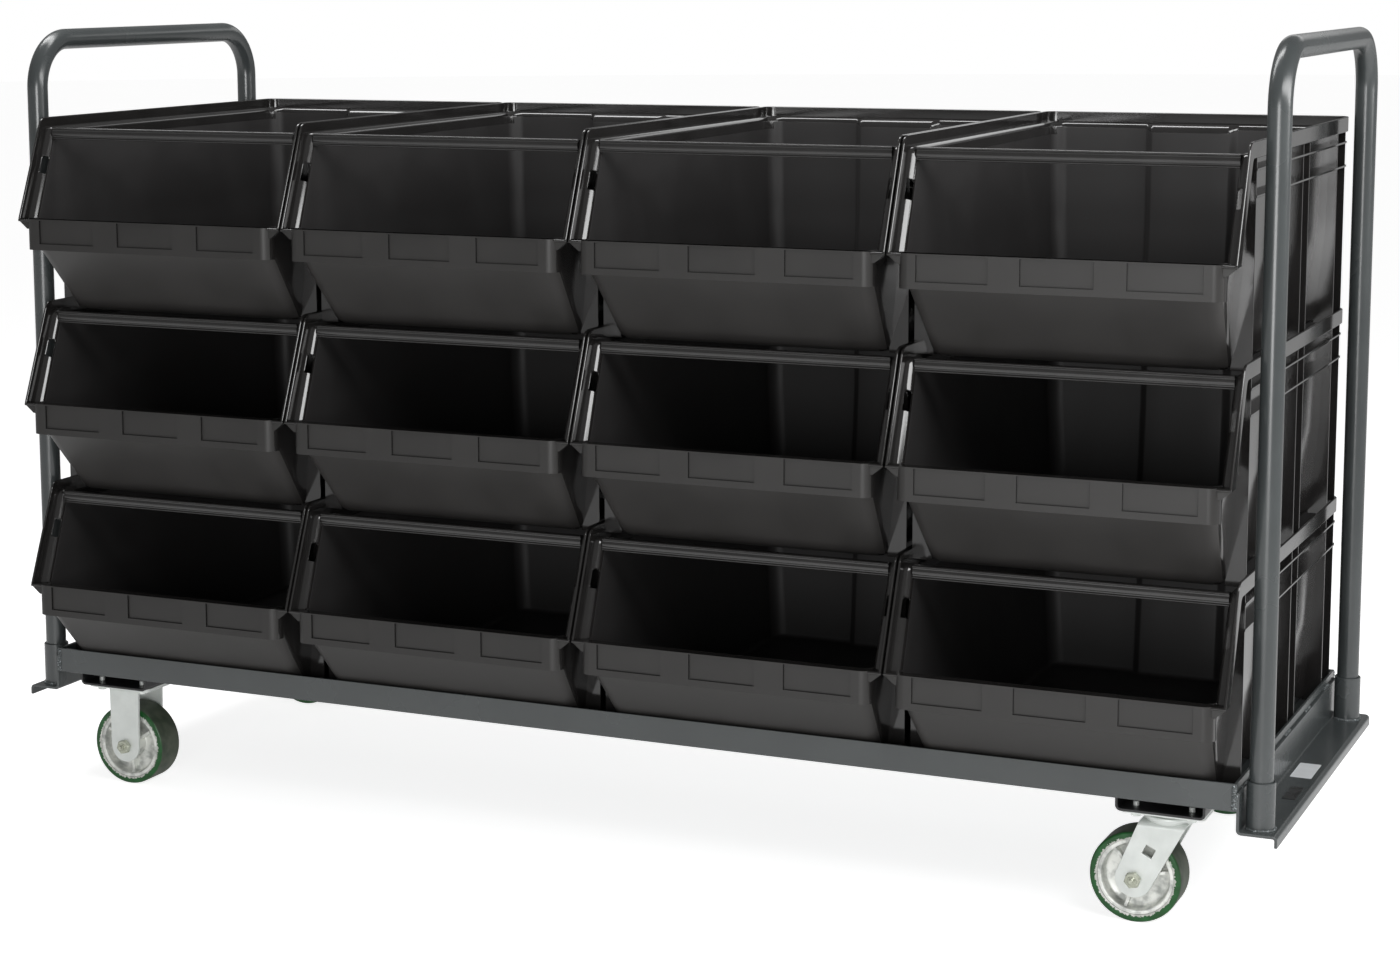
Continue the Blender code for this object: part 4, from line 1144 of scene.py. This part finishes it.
def core_shape(turn):
    """A cast wheel core: hub, dished web with ribs on both faces, and rim."""
    bore = AXLE_DIAMETER / 2 + AXLE_SLACK
    half = [(bore, HUB_HALF - BORE_EASE[1]), (bore + BORE_EASE[0], HUB_HALF), *CORE_PROFILE]
    shapes = [turned(both_halves(half), CORE_STEPS, "Y")]
    for number in range(WHEEL_RIBS):
        for side in (-1, 1):
            outline = [(radius, side * place) for radius, place in WHEEL_RIB]
            rib = prism(outline, -WHEEL_RIB_THICK / 2, WHEEL_RIB_THICK / 2, "Z")
            angle = math.radians(turn + 360 * number / WHEEL_RIBS)
            shapes.append(moved(rib, Matrix.Rotation(-angle, 4, "Y")))
    return applied(bevelled(piece_from("core", joined(shapes), plain), CORE_EDGE))


def tread_shape():
    return applied(piece_from("tread", turned(both_halves(list(TREAD_PROFILE)), TREAD_STEPS, "Y"), plain))


def bolt_shapes(base, plate_bottom, channel_top):
    """A plate's four bolts: head and washer under the plate, and the bolt's end in the channel."""
    shapes = []
    shank = BOLT_FLATS / 3
    low = plate_bottom - WASHER_THICK
    head = low - BOLT_THICK
    end = channel_top + BOLT_STICK_OUT
    shaft = [(0, head), (shank, head), (shank, end - BOLT_EASE), (shank - BOLT_EASE, end), (0, end)]
    rim = WASHER_DIAMETER / 2
    washer = [(shank, low), (rim - WASHER_EASE[0], low), (rim, low + WASHER_EASE[1])]
    washer += [(rim, plate_bottom), (shank, plate_bottom)]
    for number, (x, y) in enumerate(((-1, -1), (1, -1), (1, 1), (-1, 1))):
        place = Matrix.Translation((base.x + x * BOLT_OFFSET, base.y + y * BOLT_OFFSET, 0))
        spin = Matrix.Rotation(BOLT_TURN + BOLT_NEXT_TURN * number, 4, "Z")
        lift = Matrix.Translation((0, 0, head))
        shapes.append(moved(hexagon(BOLT_FLATS, BOLT_THICK), place @ lift @ spin))
        shapes.append(moved(turned(shaft, MEDIUM), place))
        shapes.append(moved(turned(washer, MEDIUM), place))
    return joined(shapes)


def dish(radius, level, edge):
    """A turned disc, its edge given upward as (inset from the radius, rise over the level)."""
    profile = [(radius - inset, level + rise) for inset, rise in edge]
    return turned([(0, profile[0][1])] + profile + [(0, profile[-1][1])], FINE)


def make_caster(end, depth, core, tread):
    """One caster: its wheel, fork, top plate, axle and bolts."""
    name = f"{end}_caster_{depth}"
    rigid = end == "rigid"
    wheel_low, wheel_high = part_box(f"{name}_tread")
    hub = (wheel_low + wheel_high) / 2
    for part, mesh, slot in (("wheel", core, "cast_wheel"), ("tread", tread, "green_tread")):
        piece = object_from(f"{name}_{part}_piece", mesh.copy(), looks[part])
        piece.location = hub
        shown_as(piece, f"{end}_{depth}_wheel", slot, f"{name}_{part}")
    low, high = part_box(f"{name}_fork" if rigid else f"{name}_plate")
    middle = (low + high) / 2
    centre = Matrix.Translation((middle.x, middle.y, 0))
    bottom = high.z - PLATE_THICK
    plate = rounded_plate((low.x, low.y, bottom), high, PLATE_CORNER, ARC_STEPS)
    if rigid:
        body = "cart_frame"
        fork = fork_shape(0.0, RIGID_HEAD_LENGTH / 2, bottom + TOUCH_GAP, hub.z)
        zinc_plated(f"{name}_fork_piece", joined([moved(fork, centre), plate]), body, f"{name}_fork")
    else:
        body = f"swivel_{depth}"
        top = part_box(f"{name}_fork")[1].z - RACE_HEIGHT
        fork = fork_shape(SWIVEL_TRAIL, RACE_DIAMETER / 2, top, hub.z)
        fork = joined([fork, dish(CUP_DIAMETER / 2, top, CUP_EDGE)])
        zinc_plated(f"{name}_fork_piece", moved(fork, centre), body, f"{name}_fork")
        race = moved(dish(RACE_DIAMETER / 2, bottom - RACE_HEIGHT, RACE_EDGE), centre)
        zinc_plated(f"{name}_plate_piece", joined([plate, race]), "cart_frame", f"{name}_plate")
    axle = piece_from(f"{name}_axle_piece", axle_shape(), looks["bolt"])
    axle.location = hub
    shown_as(axle, body, "zinc_plate", f"{name}_axle")
    channel_low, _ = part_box(f"{'left' if rigid else 'right'}_caster_channel")
    bolts = bolt_shapes(middle, bottom, channel_low.z + CHANNEL_THICK)
    zinc_plated(f"{name}_bolts", bolts, "cart_frame")


def make_casters():
    tread = tread_shape()
    for end, turn in RIB_TURNS.items():
        core = core_shape(turn)
        for depth in ("front", "rear"):
            make_caster(end, depth, core, tread)


# Materials


def feed(holder, node, inputs):
    """Sets a node's inputs, or links them where the value is another node's output."""
    for name, value in inputs.items():
        socket = node.inputs[name]
        if isinstance(value, bpy.types.NodeSocket):
            holder.node_tree.links.new(value, socket)
        else:
            socket.default_value = (*value, 1.0) if socket.type == "RGBA" else value


def added(holder, kind, inputs=None, **settings):
    """A new shader node, in a material or a world, with its settings made and its inputs fed."""
    node = holder.node_tree.nodes.new(f"ShaderNode{kind}")
    for name, value in settings.items():
        setattr(node, name, value)
    feed(holder, node, inputs or {})
    return node


def shader_of(name, colour, roughness, metallic=0.0):
    material = bpy.data.materials.new(name)
    material.use_nodes = True
    shader = material.node_tree.nodes["Principled BSDF"]
    feed(material, shader, {"Base Color": colour, "Roughness": roughness, "Metallic": metallic})
    return material, shader


def noise(material, scale, detail=3.0):
    place = added(material, "TexCoord").outputs["Object"]
    texture = added(material, "TexNoise", {"Vector": place, "Scale": scale, "Detail": detail})
    return texture.outputs["Fac"]


def ramp(material, source, low, high, start=0.35, end=0.65):
    """A value or colour that runs from low to high as the source does."""
    if isinstance(low, tuple):
        made = added(material, "ValToRGB", {"Fac": source})
        for element, place, colour in zip(made.color_ramp.elements, (start, end), (low, high)):
            element.position = place
            element.color = (*colour, 1.0)
        return made.outputs["Color"]
    inputs = {"Value": source, "From Min": start, "From Max": end, "To Min": low, "To Max": high}
    return added(material, "MapRange", inputs).outputs["Result"]


def bumped(material, shader, sources):
    """Bump from one or more (texture, strength, distance) in turn."""
    below = {}
    for source, strength, distance in sources:
        inputs = {"Height": source, "Strength": strength, "Distance": distance, **below}
        below = {"Normal": added(material, "Bump", inputs).outputs["Normal"]}
    feed(material, shader, below)


def finish_of(name, low, high, roughness, metallic, cloud_scale, grain_scale, grain):
    """A finish whose colour and roughness drift a little, over a fine grain."""
    material, shader = shader_of(name, low, roughness[0], metallic)
    cloud = noise(material, cloud_scale, 4.0)
    colour = ramp(material, cloud, low, high)
    feed(material, shader, {"Base Color": colour, "Roughness": ramp(material, cloud, *roughness)})
    bumped(material, shader, [(noise(material, grain_scale, 2.0), grain, GRAIN_HEIGHT)])
    return material


def radius_from_axle(material):
    """The distance from a wheel's axle, in millimetres."""
    place = added(material, "TexCoord").outputs["Object"]
    flat = added(material, "VectorMath", {0: place, 1: (1000, 0, 1000)}, operation="MULTIPLY")
    return added(material, "VectorMath", {0: flat.outputs["Vector"]}, operation="LENGTH").outputs["Value"]


def arithmetic(material, operation, one, two):
    return added(material, "Math", {0: one, 1: two}, operation=operation).outputs["Value"]


def blended(material, share, low, high):
    inputs = {"Factor": share, "A": low, "B": high}
    return added(material, "Mix", inputs, data_type="RGBA").outputs["Result"]


def tread_material():
    """Dark scuffed running face, green sides, and the core's silver in flakes at the inner edge."""
    material, shader = shader_of("tread_rubber", (0.06, 0.09, 0.06), 0.5)
    radius = radius_from_axle(material)
    scuff = ramp(material, noise(material, 55, 4.0), *SCUFFED)
    green = ramp(material, noise(material, 90), *GREEN)
    silver = ramp(material, noise(material, 120), *SILVER)
    running = ramp(material, radius, 0.0, 1.0, *RUNNING_FACE_FROM)
    wander = arithmetic(material, "MULTIPLY", noise(material, 330, 6.0), 9.0)
    flakes = ramp(material, arithmetic(material, "ADD", radius, wander), 1.0, 0.0, *FLAKES_TO)
    sides = blended(material, flakes, green, silver)
    roughness = ramp(material, running, 0.28, 0.55, 0.0, 1.0)
    feed(material, shader, {"Base Color": blended(material, running, sides, scuff), "Roughness": roughness})
    bumped(material, shader, [(noise(material, 420), 0.12, 0.0003), (flakes, 0.4, 0.0004)])
    return material


def core_material():
    """Cast metal, mottled at random, with green paint left near the rim."""
    material, shader = shader_of("cast_core", (0.6, 0.6, 0.58), 0.42, 0.40)
    radius = radius_from_axle(material)
    cloud = noise(material, 60, 7.0)
    cast = ramp(material, cloud, *CAST_METAL, 0.34, 0.56)
    wander = arithmetic(material, "MULTIPLY", noise(material, 330, 6.0), 12.0)
    paint = ramp(material, arithmetic(material, "ADD", radius, wander), 0.0, 1.0, *PAINT_FROM)
    colour = blended(material, paint, cast, RIM_PAINT)
    feed(material, shader, {"Base Color": colour, "Roughness": ramp(material, cloud, 0.55, 0.34)})
    grain = (noise(material, 260, 4.0), 0.25, 0.0004)
    swell = (noise(material, 30, 2.0), 0.3, 0.0012)
    bumped(material, shader, [grain, swell])
    return material


def weld_material():
    """Painted weld metal, flecked with light spots that are painted glints on its spatter."""
    material = finish_of("weld_coat", *WELD_FINISH)
    shader = material.node_tree.nodes["Principled BSDF"]
    # Light flecks at random over the beads: painted glints
    painted_glints = ramp(material, noise(material, 420, 2.0), 0.0, 1.0, 0.62, 0.66)
    coat = shader.inputs["Base Color"].links[0].from_socket
    feed(material, shader, {"Base Color": blended(material, painted_glints, coat, PAINTED_GLINT)})
    return material


def make_materials():
    made = {look: finish_of(*finish) for look, finish in FINISHES.items()}
    for look, level in GLOSS.items():
        shader = made[look].node_tree.nodes["Principled BSDF"]
        shader.inputs["Specular IOR Level"].default_value = level
    made["weld"] = weld_material()
    made["wheel"] = core_material()
    made["tread"] = tread_material()
    return made


# Studio


def make_camera():
    data = bpy.data.cameras.new("camera")
    camera = bpy.data.objects.new("camera", data)
    bpy.context.scene.collection.objects.link(camera)
    data.sensor_width = SENSOR
    data.sensor_fit = "HORIZONTAL"
    data.lens = SENSOR * FOCAL_PIXELS / IMAGE_WIDTH
    data.shift_x, data.shift_y = SHIFT
    data.clip_start, data.clip_end = CAMERA_CLIP
    level = Vector((-math.sin(CAMERA_YAW), math.cos(CAMERA_YAW), 0))
    ahead = level * math.cos(CAMERA_DIP) - Vector((0, 0, math.sin(CAMERA_DIP)))
    right = Vector((math.cos(CAMERA_YAW), math.sin(CAMERA_YAW), 0))
    up = right.cross(ahead)
    tilt_right = right * math.cos(CAMERA_ROLL) + up * math.sin(CAMERA_ROLL)
    tilt_up = up * math.cos(CAMERA_ROLL) - right * math.sin(CAMERA_ROLL)
    turn = Matrix((tilt_right, tilt_up, -ahead)).transposed().to_4x4()
    camera.matrix_world = Matrix.Translation(CAMERA_PLACE) @ turn
    bpy.context.scene.camera = camera


def area_light(name, place, target, size, power, along):
    """A softbox that faces a target, its first side turned along a direction."""
    data = bpy.data.lights.new(name, "AREA")
    data.shape = "RECTANGLE"
    data.size, data.size_y = size
    data.energy = power
    light = bpy.data.objects.new(name, data)
    light.visible_camera = False
    bpy.context.scene.collection.objects.link(light)
    back = (Vector(place) - Vector(target)).normalized()
    across = (Vector(along) - back * back.dot(Vector(along))).normalized()
    turn = Matrix((across, back.cross(across), back)).transposed().to_4x4()
    light.matrix_world = Matrix.Translation(place) @ turn


def split_by_ray(holder, output, others, camera):
    """Shows one shader to camera rays and another to all others."""
    ray = added(holder, "LightPath").outputs["Is Camera Ray"]
    mix = added(holder, "MixShader", {"Fac": ray, 1: others.outputs[0], 2: camera.outputs[0]})
    feed(holder, holder.node_tree.nodes[output], {"Surface": mix.outputs["Shader"]})


def make_studio():
    world = bpy.data.worlds.new("studio")
    bpy.context.scene.world = world
    world.use_nodes = True
    fill = world.node_tree.nodes["Background"]
    feed(world, fill, {"Color": WHITE, "Strength": WORLD_FILL})
    split_by_ray(world, "World Output", fill, added(world, "Background", {"Color": WHITE, "Strength": 1.0}))

    bm = bmesh.new()
    bmesh.ops.create_circle(bm, cap_ends=True, segments=FLOOR_SIDES, radius=FLOOR_RADIUS)
    floor, shader = shader_of("floor", FLOOR_COLOUR, FLOOR_ROUGHNESS)
    shine = {"Specular IOR Level": FLOOR_GLOSS, "Emission Color": WHITE, "Emission Strength": FLOOR_GLOW}
    feed(floor, shader, shine)
    glow = added(floor, "Emission", {"Strength": FLOOR_SEEN_GLOW})
    seen = added(floor, "AddShader", {0: shader.outputs["BSDF"], 1: glow.outputs["Emission"]})
    split_by_ray(floor, "Material Output", shader, seen)
    piece_from("floor", bm, floor)

    for name, lamp in LAMPS.items():
        area_light(name, *lamp)
    bpy.context.scene.view_settings.view_transform = "Standard"


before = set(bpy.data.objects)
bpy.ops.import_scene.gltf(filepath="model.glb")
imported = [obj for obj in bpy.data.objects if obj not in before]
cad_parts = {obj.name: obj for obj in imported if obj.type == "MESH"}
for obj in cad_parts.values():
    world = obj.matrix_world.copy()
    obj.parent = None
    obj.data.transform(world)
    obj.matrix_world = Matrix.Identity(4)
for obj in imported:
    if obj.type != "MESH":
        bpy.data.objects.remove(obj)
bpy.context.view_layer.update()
tote_low, tote_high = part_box("tote_row1_col1")
TOTE_WIDTH = tote_high.x - tote_low.x
TOTE_DEPTH = tote_high.y - tote_low.y - LABEL_STAND_OUT
TOTE_HEIGHT = tote_high.z - tote_low.z
FRONT_ROUND = (LEDGE_DROP + LEDGE_ROUND) / math.cos(slant()) - FRONT_WALL_SETBACK
looks = make_materials()
plain = looks["tote"]
make_camera()
make_studio()
make_totes()
make_rails()
make_steps_and_channels()
make_ends()
make_labels()
make_casters()
for name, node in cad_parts.items():
    if name == "deck_sheet" or name.endswith("_kingpin"):
        node.data.materials.clear()
        node.data.materials.append(looks["deck" if name == "deck_sheet" else "zinc"])
